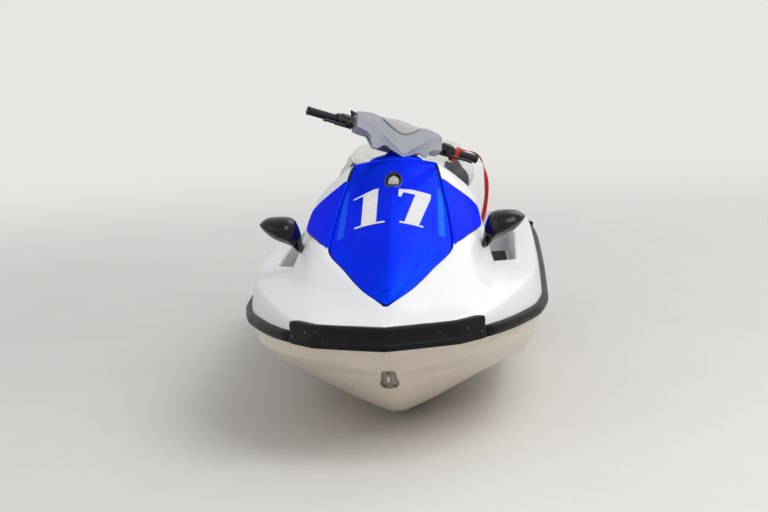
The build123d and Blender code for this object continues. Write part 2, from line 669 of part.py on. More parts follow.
def make_cover():
    def slab(right, front, depth):
        outline = right + [(-x, z) for x, z in reversed(right) if x]
        return extrude(Plane.XZ.offset(-front) * make_face(Polyline(*outline, close=True)), -depth)

    cover = slab(COVER_OUTLINE + [(0, COVER_TIP)], COVER_FRONT, COVER_DEPTH)
    cover -= slab(COVER_HOLLOW, COVER_FRONT + COVER_WALL, COVER_DEPTH - 2 * COVER_WALL)
    behind_legs = Box(2 * COVER_LEG_HALF_WIDTH, COVER_DEPTH, -2 * COVER_TIP,
                      align=(Align.CENTER, Align.MIN, Align.MAX))
    cover -= Pos(0, COVER_FRONT + COVER_LEG_DEPTH, COVER_ARM_UNDERSIDE) * behind_legs
    cover -= Pos(0, 0, COVER_TIP) * upright(COLUMN_RADIUS + FIT, -COVER_TIP)
    for side in (1, -1):
        cover -= rod(bar_point(side, 2 * BAR_REACH), bar_point(side, BAR_BEND), BAR_RADIUS + FIT)
    cover -= rod((-BAR_BEND - 3, 0, 0), (BAR_BEND + 3, 0, 0), BAR_RADIUS + FIT)
    keep("handlebar_cover", steered(cover))


def make_grips():
    keep("grips", *[steered(on_bar(side, BAR_REACH - GRIP_LENGTH, BAR_REACH, GRIP_RADIUS))
                    for side in (1, -1)])


def make_levers():
    """Each housing carries a lever between two ears, on a pin square to the bar."""
    low = LEVER_BOSS / 2 + LEVER_SIDE_GAP
    for side, housing_name, lever_name in ((1, "switch_housing", "reverse_lever"),
                                           (-1, "throttle_housing", "throttle_lever")):
        x, y, z = bar_point(side, HOUSING_END - HOUSING_LENGTH / 2)
        place = Pos(x, y, z) * Rot(LEVER_TILT, 0, 0) * Pos(0, -LEVER_OFFSET, 0)
        housing = on_bar(side, HOUSING_END - HOUSING_LENGTH, HOUSING_END, HOUSING_RADIUS)
        for height in (low, -low - LEVER_EAR):
            ear = Box(2 * LEVER_BOSS, LEVER_BOSS + LEVER_OFFSET - HOUSING_RADIUS / 2, LEVER_EAR,
                      align=(Align.CENTER, Align.MIN, Align.MIN))
            housing += place * Pos(0, -LEVER_BOSS, height) * ear
        housing += place * Pos(0, 0, -low - LEVER_EAR) * upright(LEVER_PIN, 2 * (low + LEVER_EAR))
        keep(housing_name, steered(housing))
        lever = tube([(side * lx, ly, 0) for lx, ly in LEVER_LINE], 16, LEVER_RADIUS)
        lever += Pos(0, 0, -LEVER_BOSS / 2) * upright(LEVER_BOSS, LEVER_BOSS)
        lever &= Box(FAR, FAR, LEVER_BOSS)
        lever -= Pos(0, 0, -LEVER_BOSS) * upright(LEVER_PIN + LEVER_PIN_FIT, 2 * LEVER_BOSS)
        keep(lever_name, steered(place * lever))


def make_glovebox():
    x, front, rear = GLOVE_HALF_WIDTH - FIT, GLOVE_FRONT + FIT, GLOVE_REAR - FIT
    tub = block((-x, x), (front, rear), (GLOVE_FLOOR + FIT, GLOVE_TOP))
    tub -= block((GLOVE_WALL - x, x - GLOVE_WALL), (front + GLOVE_WALL, rear - GLOVE_WALL),
                 (GLOVE_FLOOR + FIT + GLOVE_WALL, FAR))
    keep("glovebox", tub)


def make_glovebox_lid():
    half = GLOVE_HALF_WIDTH + LID_RIM
    seat = on_deck(LIP, 0, LID_SEAT)
    lines = [lambda s: (half, seat(s)[1]), lambda s: (half, seat(s)[1] + LID_THICKNESS * 0.7),
             lambda s: (half - 14, seat(s)[1] + LID_THICKNESS)]
    lid = skin(lines, [GLOVE_FRONT - LID_RIM, LID_HINGE_S - LID_HINGE_RADIUS - 1])
    long = LID_HINGE_LENGTH
    lid += block((-long, long), (LID_HINGE_S - 2 * LID_HINGE_RADIUS, LID_HINGE_S),
                 (LID_HINGE_Z - 4, LID_HINGE_Z + 4))
    lid += across(long, LID_HINGE_S, LID_HINGE_Z, LID_HINGE_RADIUS)
    lid -= across(long + 1, LID_HINGE_S, LID_HINGE_Z, LID_PIN + 0.1)
    keep("glovebox_lid", lid)
    hinge = across(1.5 * long, LID_HINGE_S, LID_HINGE_Z, LID_PIN)
    for side in (1, -1):
        x = sorted((side * (long + FIT), side * 1.5 * long))
        hinge += block(x, (LID_HINGE_S - 4, LID_HINGE_S + 4),
                       (on_deck(LIP, 0, FIT)(LID_HINGE_S - 4)[1], LID_HINGE_Z + 4))
    keep("glovebox_hinge", hinge)


def make_fairing():
    rings = [COLUMN.location * Pos(0, 0, height) * Wire.make_circle(radius)
             for height, radius in FAIRING]
    dome = Solid.make_loft(rings, ruled=True)
    cowl = skin([on_deck(LIP, -COWL_INSET, FIT), on_deck(LIP, -COWL_INSET, COWL_THICKNESS)],
                between(DECK_STATIONS, *COWL))
    fairing = dome + cowl - column_space(COLUMN_RADIUS + MOVING_GAP)
    keep("column_fairing", fairing - PARTS["aft_deck"][0])


def make_lanyard():
    inner = BAR_REACH - GRIP_LENGTH
    start, end = (inner + reach for reach in LANYARD_LOOP)
    keep("lanyard_loop", steered(on_bar(1, start, end, GRIP_RADIUS + 3, GRIP_RADIUS + FIT)))
    keep("lanyard", tube(LANYARD, turn_radii(LANYARD), LANYARD_RADIUS))
    x, y, z = LANYARD[-1]
    clip = Box(*LANYARD_CLIP, align=(Align.CENTER, Align.CENTER, Align.MAX))
    keep("lanyard_clip", Pos(x, y, z - FIT - 1) * clip)


def turn_radii(points):
    """The largest arc that each corner's two runs allow."""
    radii = []
    for a, b, c in zip(points, points[1:], points[2:]):
        u, v = Vector(*b) - Vector(*a), Vector(*c) - Vector(*b)
        radii.append(0.45 * min(u.length, v.length) / math.tan(math.radians(u.get_angle(v)) / 2))
    return radii


def blades(count, root, tip, start, length, turn, thickness):
    """Twisted blades round the pump's axis, each through sections that turn as it goes aft."""
    made = []
    for k in range(count):
        rings = []
        for i in range(BLADE_SECTIONS + 1):
            share = i / BLADE_SECTIONS
            angle = 2 * math.pi * k / count + math.radians(turn * share)
            corners = []
            for r, side in ((root, -0.5), (tip, -0.5), (tip, 0.5), (root, 0.5)):
                a = angle + side * thickness / r
                corners.append((r * math.cos(a), at(start + length * share),
                                PUMP_AXIS_Z + r * math.sin(a)))
            rings.append(Wire.make_polygon(corners))
        made.append(Solid.make_loft(rings, ruled=True))
    return made


def make_pump():
    start = TUNNEL_FRONT + 1
    bore = IMPELLER_RADIUS + IMPELLER_GAP
    outer = bore + PUMP_WALL
    body = block((FIT - TUNNEL_HALF_WIDTH, TUNNEL_HALF_WIDTH - FIT), (start, start + FLANGE_THICKNESS),
                 (PLATE_THICKNESS + FIT, TUNNEL_HEIGHT - FIT))
    body += along(start, BARREL_END, outer)
    body += funnel((BARREL_END, outer), (CONE_END, NOZZLE_RADIUS + 2))
    body += block((-60, 60), (start + 20, BARREL_END - 50), (PLATE_THICKNESS + FIT, PUMP_AXIS_Z - 60))
    body -= along(start - 1, BARREL_END + 1, bore)
    body -= funnel((BARREL_END - 1, bore), (CONE_END + 1, NOZZLE_RADIUS - NOZZLE_WALL))
    vanes_start = BARREL_END - 5 - STATOR_LENGTH
    for vane in blades(STATOR_VANES, STATOR_HUB - 2, bore + 3, vanes_start, STATOR_LENGTH,
                       STATOR_TURN, STATOR_VANE):
        body += vane
    body += along(vanes_start - 8, BARREL_END + 10, STATOR_HUB)
    body -= along(vanes_start - 9, BARREL_END + 11, SHAFT_RADIUS + FIT)
    for z in (PUMP_AXIS_Z + NOZZLE_RADIUS + 6, PUMP_AXIS_Z - NOZZLE_RADIUS - 16):
        body += block((-12, 12), (CONE_END - 22, NOZZLE_S + 12), (z, z + 10))
        body -= rod((0, at(NOZZLE_S), z - 5), (0, at(NOZZLE_S), z + 15), NOZZLE_PIN + FIT)
    keep("jet_pump", body)


def make_impeller():
    rear = IMPELLER_FRONT + IMPELLER_LENGTH
    wheel = along(ENGINE_FRONT + ENGINE_LENGTH + 1, BARREL_END + 8, SHAFT_RADIUS)
    wheel += along(IMPELLER_FRONT - 6, rear + 4, IMPELLER_HUB)
    for blade in blades(IMPELLER_BLADES, IMPELLER_HUB - 3, IMPELLER_RADIUS, IMPELLER_FRONT,
                        IMPELLER_LENGTH, IMPELLER_TURN, IMPELLER_BLADE):
        wheel += blade
    keep("impeller", wheel)


def make_nozzle():
    start = NOZZLE_S - 8
    nozzle = along(start, start + NOZZLE_LENGTH, NOZZLE_RADIUS)
    nozzle -= along(start - 1, start + NOZZLE_LENGTH + 1, NOZZLE_RADIUS - NOZZLE_WALL)
    for z in (PUMP_AXIS_Z + NOZZLE_RADIUS - 3, PUMP_AXIS_Z - NOZZLE_RADIUS - 17):
        nozzle += rod((0, at(NOZZLE_S), z), (0, at(NOZZLE_S), z + 20), NOZZLE_PIN)
    turn = Pos(0, at(NOZZLE_S), 0) * Rot(0, 0, NOZZLE_TURN) * Pos(0, -at(NOZZLE_S), 0)
    keep("steering_nozzle", turn * nozzle)


def make_gate():
    drum = Cylinder(GATE_RADIUS, 2 * GATE_HALF_WIDTH)
    drum -= Cylinder(GATE_RADIUS - GATE_WALL, 2 * (GATE_HALF_WIDTH - GATE_WALL))
    reach = 2 * GATE_RADIUS
    sector = [(GATE_S, PUMP_AXIS_Z)] + [
        (GATE_S + reach * math.cos(math.radians(a)), PUMP_AXIS_Z + reach * math.sin(math.radians(a)))
        for a in GATE_SECTOR]
    gate = (Pos(0, at(GATE_S), PUMP_AXIS_Z) * Rot(0, 90, 0) * drum) & profile(sector, GATE_RADIUS)
    brackets = []
    for side in (1, -1):
        arm = sorted((side * (GATE_HALF_WIDTH - GATE_WALL), side * GATE_HALF_WIDTH))
        gate += block(arm, (GATE_S - 14, GATE_S + 14), (PUMP_AXIS_Z - 14, PUMP_AXIS_Z + 80))
        gate += rod((side * (GATE_HALF_WIDTH - 1), at(GATE_S), PUMP_AXIS_Z),
                    (side * (GATE_HALF_WIDTH + 14), at(GATE_S), PUMP_AXIS_Z), GATE_PIN)
        x = sorted((side * (GATE_HALF_WIDTH + MOVING_GAP), side * (TUNNEL_HALF_WIDTH - FIT)))
        bracket = block(x, (GATE_S - 62, GATE_S + 38), (PUMP_AXIS_Z - 25, PUMP_AXIS_Z + 25))
        brackets.append(bracket - across(FAR, GATE_S, PUMP_AXIS_Z, GATE_PIN + FIT))
    keep("reverse_gate", gate)
    keep("gate_brackets", *brackets)


def make_underside():
    x = TUNNEL_HALF_WIDTH - FIT
    keep("ride_plate", block((-x, x), (TUNNEL_FRONT + 1, TRANSOM - 10), (0, PLATE_THICKNESS)))
    grate = [block((x - GRATE_BAR / 2, x + GRATE_BAR / 2), (INTAKE_FRONT + 24, INTAKE_REAR - 1), (1, 13))
             for x in (-INTAKE_HALF_WIDTH / 2, 0, INTAKE_HALF_WIDTH / 2)]
    half = INTAKE_HALF_WIDTH - FIT
    for s in (INTAKE_FRONT + 30, INTAKE_REAR - 20):
        grate.append(block((-half, half), (s, s + 14), (3, 13)))
    keep("intake_grate", grate[0] + grate[1:])


def make_sponsons():
    wing = strip([line(CHINE, dx, dz) for dx, dz in SPONSON_CORNERS],
                 [TRANSOM - ahead for ahead in SPONSON_AHEAD])
    for solid in PARTS["hull"]:
        wing -= solid
    keep("sponsons", *both(wing))


def make_engine():
    keep("engine", block((-ENGINE_WIDTH / 2, ENGINE_WIDTH / 2), (ENGINE_FRONT, ENGINE_FRONT + ENGINE_LENGTH),
                         (ENGINE_FLOOR + FIT, ENGINE_FLOOR + ENGINE_HEIGHT)))


def make_mats():
    low, high = FOOTWELL_FLOOR + FIT, FOOTWELL_FLOOR + MAT_THICKNESS
    inner, outer = on_deck(CHANNEL, 4), on_deck(COAMING, -32)
    edges = [lambda s: (inner(s)[0], low), lambda s: (outer(s)[0], low),
             lambda s: (outer(s)[0], high), lambda s: (inner(s)[0], high)]
    mats = []
    for k in range(MAT_COUNT):
        start = MAT_FRONT + k * (MAT_LENGTH + MAT_GAP)
        mats += both(strip(edges, between(DECK_STATIONS, start, start + MAT_LENGTH)))
    keep("footwell_mats", *mats)
    lines = [on_deck(CHANNEL, 60, FIT), on_deck(CHANNEL, 60, MAT_THICKNESS)]
    keep("deck_mat", skin(lines, between(DECK_STATIONS, AFT_DECK + 25, STERN - 25)))


def disc(x, y, z, radius):
    return Pos(x, y, z) * Rot(0, 90, 0) * Cylinder(radius, EYE_THICKNESS)


def make_eyes():
    eye = disc(0, at(EYE_S) - 12, EYE_Z, EYE_RADIUS) - disc(0, at(EYE_S) - 16, EYE_Z, EYE_HOLE)
    keep("bow_eye", eye - PARTS["hull"][0])
    x, z = STERN_EYE
    behind = block((-FAR, FAR), (TRANSOM + FIT, TRANSOM + 60), (0, FAR))
    eyes = []
    for side in (1, -1):
        place = (side * x, at(TRANSOM) + 2, z)
        eyes.append((disc(*place, STERN_EYE_RADIUS) - disc(*place, STERN_EYE_HOLE)) & behind)
    keep("stern_eyes", *eyes)


def make_step():
    x, foot, top = STEP_HALF_WIDTH, STEP_Z, STEP_Z + STEP_LENGTH
    half = [(x, at(STEP_S), foot), (x, at(STEP_S), top)]
    step = tube(half + [(-x, y, z) for x, y, z in reversed(half)], 30, STEP_TUBE)
    brackets = []
    for side in (1, -1):
        step += rod((side * (x - 18), at(STEP_S), foot), (side * (x + 18), at(STEP_S), foot), STEP_PIN)
        for inner in (x - 20, x + 14.3):
            span = sorted((side * inner, side * (inner + 6)))
            ear = block(span, (TRANSOM + FIT, STEP_S + 10), (foot - 14, foot + 14))
            brackets.append(ear - across(FAR, STEP_S, foot, STEP_PIN + FIT))
    keep("boarding_step", step)
    keep("step_brackets", *brackets)


make_hull()
make_decks()
make_rail()
make_bumper()
make_stern_bumper()
make_panels()
make_hood()
make_latch()
make_hood_hinge()
make_bin()
make_seats()
make_grab_handle()
make_mirrors()
make_handlebar()
make_cover()
make_grips()
make_levers()
make_glovebox()
make_glovebox_lid()
make_fairing()
make_lanyard()
make_pump()
make_impeller()
make_nozzle()
make_gate()
make_underside()
make_sponsons()
make_engine()
make_mats()
make_eyes()
make_step()

os.makedirs("parts", exist_ok=True)
for name, solids in PARTS.items():
    export_step(solids[0] if len(solids) == 1 else Compound(solids), f"parts/{name}.step")
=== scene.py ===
import math

import bmesh
import bpy
from mathutils import Matrix, Vector


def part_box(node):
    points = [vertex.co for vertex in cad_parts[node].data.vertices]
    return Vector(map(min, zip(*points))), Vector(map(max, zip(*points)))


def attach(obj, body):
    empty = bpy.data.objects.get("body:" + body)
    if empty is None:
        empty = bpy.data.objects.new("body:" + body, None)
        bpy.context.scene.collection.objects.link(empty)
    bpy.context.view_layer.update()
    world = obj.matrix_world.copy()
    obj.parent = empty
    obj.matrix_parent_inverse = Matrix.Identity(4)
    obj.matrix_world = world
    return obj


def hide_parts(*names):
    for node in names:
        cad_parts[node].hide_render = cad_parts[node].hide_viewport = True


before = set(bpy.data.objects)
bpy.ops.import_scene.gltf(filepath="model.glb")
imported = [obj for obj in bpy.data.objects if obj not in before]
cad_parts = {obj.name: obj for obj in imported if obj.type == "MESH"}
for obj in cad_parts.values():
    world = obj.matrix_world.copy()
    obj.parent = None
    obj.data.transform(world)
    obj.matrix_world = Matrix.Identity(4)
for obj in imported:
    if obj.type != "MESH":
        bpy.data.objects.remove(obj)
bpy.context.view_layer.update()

# A personal watercraft. Tables are in millimetres, as s aft of the bow, half-width x and height z,
# as in the part's source. The bow points to -Y, and +X is port.
TRANSOM = 3130
LENGTH = TRANSOM + 90
AFT_BODY = TRANSOM - 630
SEAT_END = TRANSOM - 355
PEDESTAL_END = TRANSOM - 295
AFT_DECK = TRANSOM - 270
QUARTER = TRANSOM - 80
STERN = TRANSOM + 60

BOND = [(32, 3, 474), (79, 125, 470), (126, 247, 466), (173, 289, 463), (221, 331, 461),
        (345, 402, 456), (515, 472, 451), (740, 535, 444), (1000, 560, 440),
        (1600, 562, 434), (AFT_BODY, 555, 420), (QUARTER, 535, 408), (TRANSOM, 515, 405),
        (STERN, 465, 404)]
KNUCKLE = [(32, 2.5, 472), (79, 32, 432), (126, 60, 394), (173, 140, 370), (221, 215, 367),
           (345, 345, 360), (515, 440, 352), (740, 515, 343), (1100, 545, 330),
           (1600, 547, 322), (AFT_BODY, 540, 310), (TRANSOM, 500, 298)]
CHINE = [(32, 2, 470), (79, 16, 425), (126, 30, 381), (173, 40, 328), (221, 60, 312),
         (345, 185, 297), (515, 315, 280), (740, 405, 255), (1100, 490, 215),
         (1600, 500, 200), (TRANSOM, 490, 195)]
BILGE = [(32, 1.5, 468), (79, 8, 422), (126, 14, 375), (173, 16, 318), (221, 30, 288),
         (345, 95, 245), (515, 165, 200), (740, 220, 150), (1100, 260, 115),
         (1600, 265, 105), (TRANSOM, 265, 105)]
KEEL = [(32, 1, 466), (79, 2, 419), (126, 3, 370), (173, 5, 313), (221, 9, 272),
        (345, 16, 200), (515, 20, 120), (610, 22, 90), (740, 24, 57), (900, 27, 26),
        (1100, 32, 6), (1250, 42, 0), (1500, 62, 0), (1900, 105, 0), (TRANSOM, 105, 0)]
GUNWALE = [(32, 3, 507), (79, 125, 510), (126, 247, 513), (173, 289, 512), (221, 326, 510),
           (345, 388, 520), (515, 452, 535), (740, 512, 552), (900, 532, 560),
           (1060, 538, 562), (1600, 540, 552), (AFT_BODY, 530, 520), (AFT_DECK, 518, 486),
           (QUARTER, 508, 462), (TRANSOM, 490, 453), (STERN, 445, 448)]
COAMING = [(32, 2.4, 508), (126, 215, 518), (221, 285, 524), (345, 335, 540),
           (515, 392, 562), (740, 445, 572), (900, 468, 574), (1060, 472, 572),
           (1600, 474, 562), (AFT_BODY, 464, 530), (AFT_DECK, 452, 490), (QUARTER, 440, 466),
           (TRANSOM, 425, 457), (STERN, 385, 452)]
CHANNEL = [(32, 1.8, 509), (126, 170, 523), (221, 225, 536), (345, 275, 560),
           (515, 335, 590), (740, 378, 600), (900, 376, 588), (1060, 345, 565),
           (1500, 268, 545), (AFT_BODY, 310, 540), (PEDESTAL_END, 320, 530),
           (AFT_DECK, 320, 490), (QUARTER, 320, 466), (TRANSOM, 310, 457), (STERN, 300, 452)]
SHOULDER = [(32, 1.2, 510), (126, 110, 527), (221, 150, 545), (345, 200, 577),
            (515, 275, 632), (655, 318, 672), (740, 335, 690), (946, 335, 732),
            (1100, 318, 788), (1236, 285, 840), (1330, 255, 850), (1420, 235, 835),
            (1530, 222, 800), (1552, 216, 720), (1585, 213, 668), (AFT_BODY, 258, 668),
            (PEDESTAL_END, 258, 668), (AFT_DECK, 258, 490), (QUARTER, 255, 466),
            (TRANSOM, 250, 457), (STERN, 240, 452)]
LIP = [(32, 0.6, 511), (126, 5, 540), (158, 7, 560), (166, 11, 563), (300, 95, 600),
       (450, 160, 640), (655, 236, 700), (850, 223, 775), (1044, 197, 861), (1236, 167, 936),
       (1330, 150, 915), (1420, 142, 905), (1530, 140, 893), (1552, 142, 735),
       (1585, 148, 694), (1700, 160, 668), (PEDESTAL_END, 190, 668), (AFT_DECK, 190, 490),
       (QUARTER, 188, 466), (TRANSOM, 185, 457), (STERN, 180, 452)]
RIDGE = [(162, 0, 571), (300, 0, 634), (450, 0, 696), (655, 0, 774), (850, 0, 844),
         (1044, 0, 907), (1236, 0, 962)]
# The seats' lines, and the base's without its height.
SEAT_BASE = [(1555, 118), (1700, 178), (2080, 225), (AFT_BODY, 250), (SEAT_END, 225)]
SEAT_FLARE = [(1555, 124, 795), (1700, 188, 760), (2080, 238, 755), (2110, 292, 758),
              (2250, 312, 765), (AFT_BODY, 306, 765), (SEAT_END, 262, 755)]
SEAT_SHOULDER = [(1555, 95, 862), (1700, 136, 842), (2080, 170, 850), (2110, 220, 868),
                 (2250, 238, 880), (AFT_BODY, 230, 878), (SEAT_END, 200, 862)]
SEAT_CROWN = [(1555, 0, 878), (1700, 0, 862), (2080, 0, 866), (2110, 0, 886),
              (AFT_BODY, 0, 898), (SEAT_END, 0, 882)]
# How far out the side panels reach, from the lip (0) to the shoulder (1), by s.
PANEL_SHARE = [(655, 0.03), (700, 0.24), (760, 0.48), (850, 0.79), (900, 0.91), (946, 0.98),
               (1070, 0.98), (1088, 0.93), (1099, 0.66), (1105, 0.05)]
# The hood's crease: its share of the half-width, by s.
CREASE = [(180, 0.95), (288, 0.76), (400, 0.69), (515, 0.67), (640, 0.685), (793, 0.71),
          (958, 0.785), (1100, 0.9), (1228, 0.94)]
# The lanyard's route from the bar to its clip, as x, y and z.
LANYARD = [(239.5, -67.4, 958.5), (271, -45, 950), (305, -22, 941), (337, -9, 913),
           (351, -13, 865), (357, -20, 812), (355, -19, 758), (346, -21, 706),
           (334, -19, 656), (327, -20, 608)]

SCENE = bpy.context.scene


def at(s):
    """The y of a place that lies s aft of the bow."""
    return (s - LENGTH / 2) / 1000


def spot(x, s, z):
    """A point in metres from millimetres."""
    return Vector((x / 1000, at(s), z / 1000))


def slopes(rows, column):
    """The slope at each row, for a curve that never runs past the rows' values."""
    rates = [(b[column] - a[column]) / (b[0] - a[0]) for a, b in zip(rows, rows[1:])]
    inner = [0 if a * b <= 0 else 2 * a * b / (a + b) for a, b in zip(rates, rates[1:])]
    return [rates[0]] + inner + [rates[-1]]


# The slopes that value has worked out, by table and column.
SLOPES = {}


def value(rows, column, s):
    """A column's value at s, on a smooth curve through the rows."""
    key = (id(rows), column)
    if key not in SLOPES:
        SLOPES[key] = slopes(rows, column)
    m = SLOPES[key]
    s = min(max(s, rows[0][0]), rows[-1][0])
    i = max(k for k in range(len(rows) - 1) if rows[k][0] <= s)
    a, b = rows[i], rows[i + 1]
    span = b[0] - a[0]
    t = (s - a[0]) / span
    return ((2 * t**3 - 3 * t**2 + 1) * a[column] + (t**3 - 2 * t**2 + t) * span * m[i]
            + (3 * t**2 - 2 * t**3) * b[column] + (t**3 - t**2) * span * m[i + 1])


def line(rows, s):
    """The half-width and height of a line along the craft at s."""
    return Vector((value(rows, 1, s), value(rows, 2, s)))


def ease(low, high, s):
    """Rises smoothly from 0 at low to 1 at high."""
    t = min(1, max(0, (s - low) / (high - low)))
    return t * t * (3 - 2 * t)


def steps(low, high, size, *extra):
    """Places from low to high at most size apart, with the extra ones among them."""
    count = max(1, math.ceil((high - low) / size))
    even = [low + (high - low) * k / count for k in range(count + 1)]
    kept = [s for s in even if all(abs(s - e) > 0.4 * size for e in extra) or s in (low, high)]
    return sorted(set(kept + [e for e in extra if low <= e <= high]))


def soften(corners, radii, bows=None, runs=None):
    """A line through 2-D corners, rounded at each, with its runs bowed out and divided."""
    last = len(corners) - 1
    bows = bows or [0] * last
    runs = runs or [1] * last
    cuts = []
    for i, (p, r) in enumerate(zip(corners, radii)):
        if i in (0, last) or not r:
            cuts.append((p, p, r))
            continue
        back, ahead = corners[i - 1] - p, corners[i + 1] - p
        a = p + back.normalized() * min(r, 0.45 * back.length)
        b = p + ahead.normalized() * min(r, 0.45 * ahead.length)
        cuts.append((a, b, r))
    out = []
    for i, p in enumerate(corners):
        a, b, r = cuts[i]
        if i in (0, last) or not r:
            out.append(p.copy())
        else:
            for t in (0, 0.25, 0.5, 0.75, 1):
                out.append(a * (1 - t) ** 2 + p * (2 * t * (1 - t)) + b * t * t)
        if i < last:
            run = cuts[i + 1][0] - b
            normal = Vector((run.y, -run.x)).normalized()
            for k in range(1, runs[i]):
                t = k / runs[i]
                out.append(b + run * t + normal * (bows[i] * 4 * t * (1 - t)))
    return out


def distances(points):
    """How far along the line each of its points lies."""
    gone = [0.0]
    for a, b in zip(points, points[1:]):
        gone.append(gone[-1] + (b - a).length)
    return gone


def smooth_ring(corners, count):
    """A closed smooth curve near the corners, in even steps."""
    path = list(corners)
    for _ in range(4):
        sides = zip(path, path[1:] + path[:1])
        path = [p for a, b in sides for p in (a.lerp(b, 0.25), a.lerp(b, 0.75))]
    path.append(path[0])
    gone = distances(path)
    out = []
    i = 0
    for k in range(count):
        d = gone[-1] * k / count
        while gone[i + 1] < d:
            i += 1
        out.append(path[i].lerp(path[i + 1], (d - gone[i]) / (gone[i + 1] - gone[i])))
    return out


def angles(count):
    """Angles that divide a full turn evenly."""
    return [2 * math.pi * k / count for k in range(count)]


def squared(angle, power):
    """A place on the unit circle, drawn out towards a square by a power below 1."""
    return [math.copysign(abs(v) ** power, v) for v in (math.cos(angle), math.sin(angle))]


def heading(points, i):
    """The direction of a line of points at one of them."""
    return (points[min(i + 1, len(points) - 1)] - points[max(i - 1, 0)]).normalized()


def loft(rings, wrap=False, caps=(False, False), skip=None):
    """A mesh through rings that have the same number of points."""
    count = len(rings[0])
    faces = []
    for i in range(len(rings) - 1):
        for j in range(count if wrap else count - 1):
            if skip and skip(i, j):
                continue
            k = (j + 1) % count
            faces.append((i * count + j, i * count + k, (i + 1) * count + k, (i + 1) * count + j))
    if caps[0]:
        faces.append(tuple(reversed(range(count))))
    if caps[1]:
        faces.append(tuple(range((len(rings) - 1) * count, len(rings) * count)))
    mesh = bpy.data.meshes.new("loft")
    mesh.from_pydata([tuple(p) for ring in rings for p in ring], [], faces)
    return mesh


def closed(rings):
    """A closed mesh through rings, with a face at each end."""
    return loft(rings, wrap=True, caps=(True, True))


def ring_at(s, half):
    """A ring at s, from half a section whose two ends lie on the middle plane."""
    other = [(-x, z) for x, z in reversed(half[1:-1])]
    return [spot(x, s, z) for x, z in [*half, *other]]


def merged(*meshes):
    """One mesh of several, whose points stay apart."""
    whole = bmesh.new()
    for mesh in meshes:
        whole.from_mesh(mesh)
    out = bpy.data.meshes.new("merged")
    whole.to_mesh(out)
    whole.free()
    return out


def mirrored(mesh):
    """The mesh and its image on the other side of the craft."""
    copy = bmesh.new()
    copy.from_mesh(mesh)
    bmesh.ops.scale(copy, vec=(-1, 1, 1), verts=copy.verts)
    bmesh.ops.reverse_faces(copy, faces=copy.faces)
    out = bpy.data.meshes.new("mirrored")
    copy.to_mesh(out)
    copy.free()
    return merged(mesh, out)


def moved(mesh, matrix):
    """Turns and shifts a mesh."""
    mesh.transform(matrix)
    return mesh


def tidy(mesh, close=1e-6, outward=True):
    """Joins points that coincide, drops loose ones and turns the faces outward."""
    work = bmesh.new()
    work.from_mesh(mesh)
    bmesh.ops.remove_doubles(work, verts=work.verts, dist=close)
    bmesh.ops.dissolve_degenerate(work, edges=work.edges, dist=close)
    loose = [v for v in work.verts if not v.link_faces]
    bmesh.ops.delete(work, geom=loose, context="VERTS")
    if outward:
        bmesh.ops.recalc_face_normals(work, faces=work.faces)
    work.to_mesh(mesh)
    work.free()
    return mesh


def apply_all(obj):
    """Turns an object's modifiers into its mesh."""
    bpy.context.view_layer.update()
    graph = bpy.context.evaluated_depsgraph_get()
    made = bpy.data.meshes.new_from_object(obj.evaluated_get(graph))
    obj.modifiers.clear()
    obj.data = made


def piece(name, mesh, body, material, replaces=(), angle=32, bevel=0, solid=0, smooth=0,
          cut=()):
    """A named piece on its body; solid, bevel and smooth thicken, round and divide it."""
    obj = bpy.data.objects.new(name, mesh)
    SCENE.collection.objects.link(obj)
    if solid:
        shell = obj.modifiers.new("shell", "SOLIDIFY")
        shell.thickness = abs(solid) / 1000
        shell.offset = -1 if solid > 0 else 1
    for other in cut:
        tool = obj.modifiers.new("cut", "BOOLEAN")
        tool.object = other
        tool.operation = "DIFFERENCE"
        tool.solver = "EXACT"
    if bevel:
        edge = obj.modifiers.new("edge", "BEVEL")
        edge.width = bevel / 1000
        edge.segments = 3
        edge.limit_method = "ANGLE"
        edge.angle_limit = math.radians(angle)
    if smooth:
        subdivision = obj.modifiers.new("smooth", "SUBSURF")
        subdivision.levels = subdivision.render_levels = smooth
    if obj.modifiers:
        apply_all(obj)
    obj.name = name
    obj.data.name = name
    obj.data.shade_smooth()
    obj.data.set_sharp_from_angle(angle=math.radians(angle))
    materials = material if isinstance(material, (list, tuple)) else [material]
    obj.data.materials.clear()
    for each in materials:
        obj.data.materials.append(each)
    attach(obj, body)
    if replaces:
        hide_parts(*replaces)
    return obj


def cutter(mesh):
    """A helper object that is cut out of a piece and then scrapped."""
    obj = bpy.data.objects.new("cutter", tidy(mesh))
    SCENE.collection.objects.link(obj)
    return obj


def scrap(*objects):
    """Deletes helper objects."""
    for obj in objects:
        bpy.data.objects.remove(obj)


def box(low, high):
    """A box between two corners, in metres."""
    corners = ((low[0], low[2]), (high[0], low[2]), (high[0], high[2]), (low[0], high[2]))
    return closed([[(x, y, z) for x, z in corners] for y in (low[1], high[1])])


def tube(points, radius, sides):
    """A round bar along points, with one radius or a list of them."""
    rings = []
    up = None
    for i, p in enumerate(points):
        ahead = heading(points, i)
        if up is None:
            up = Vector((0, 0, 1)) if abs(ahead.z) < 0.9 else Vector((1, 0, 0))
        side = ahead.cross(up).normalized()
        up = side.cross(ahead).normalized()
        r = radius[i] if isinstance(radius, list) else radius
        rings.append([p + side * (r * math.cos(a)) + up * (r * math.sin(a)) for a in angles(sides)])
    return closed(rings)


# Materials
def node(tree, kind, inputs=(), **settings):
    """A node with its inputs set to values or linked to other nodes' outputs."""
    made = tree.nodes.new(kind)
    for key, setting in settings.items():
        setattr(made, key, setting)
    for key, source in dict(inputs).items():
        if isinstance(source, bpy.types.NodeSocket):
            tree.links.new(source, made.inputs[key])
        else:
            made.inputs[key].default_value = source
    return made


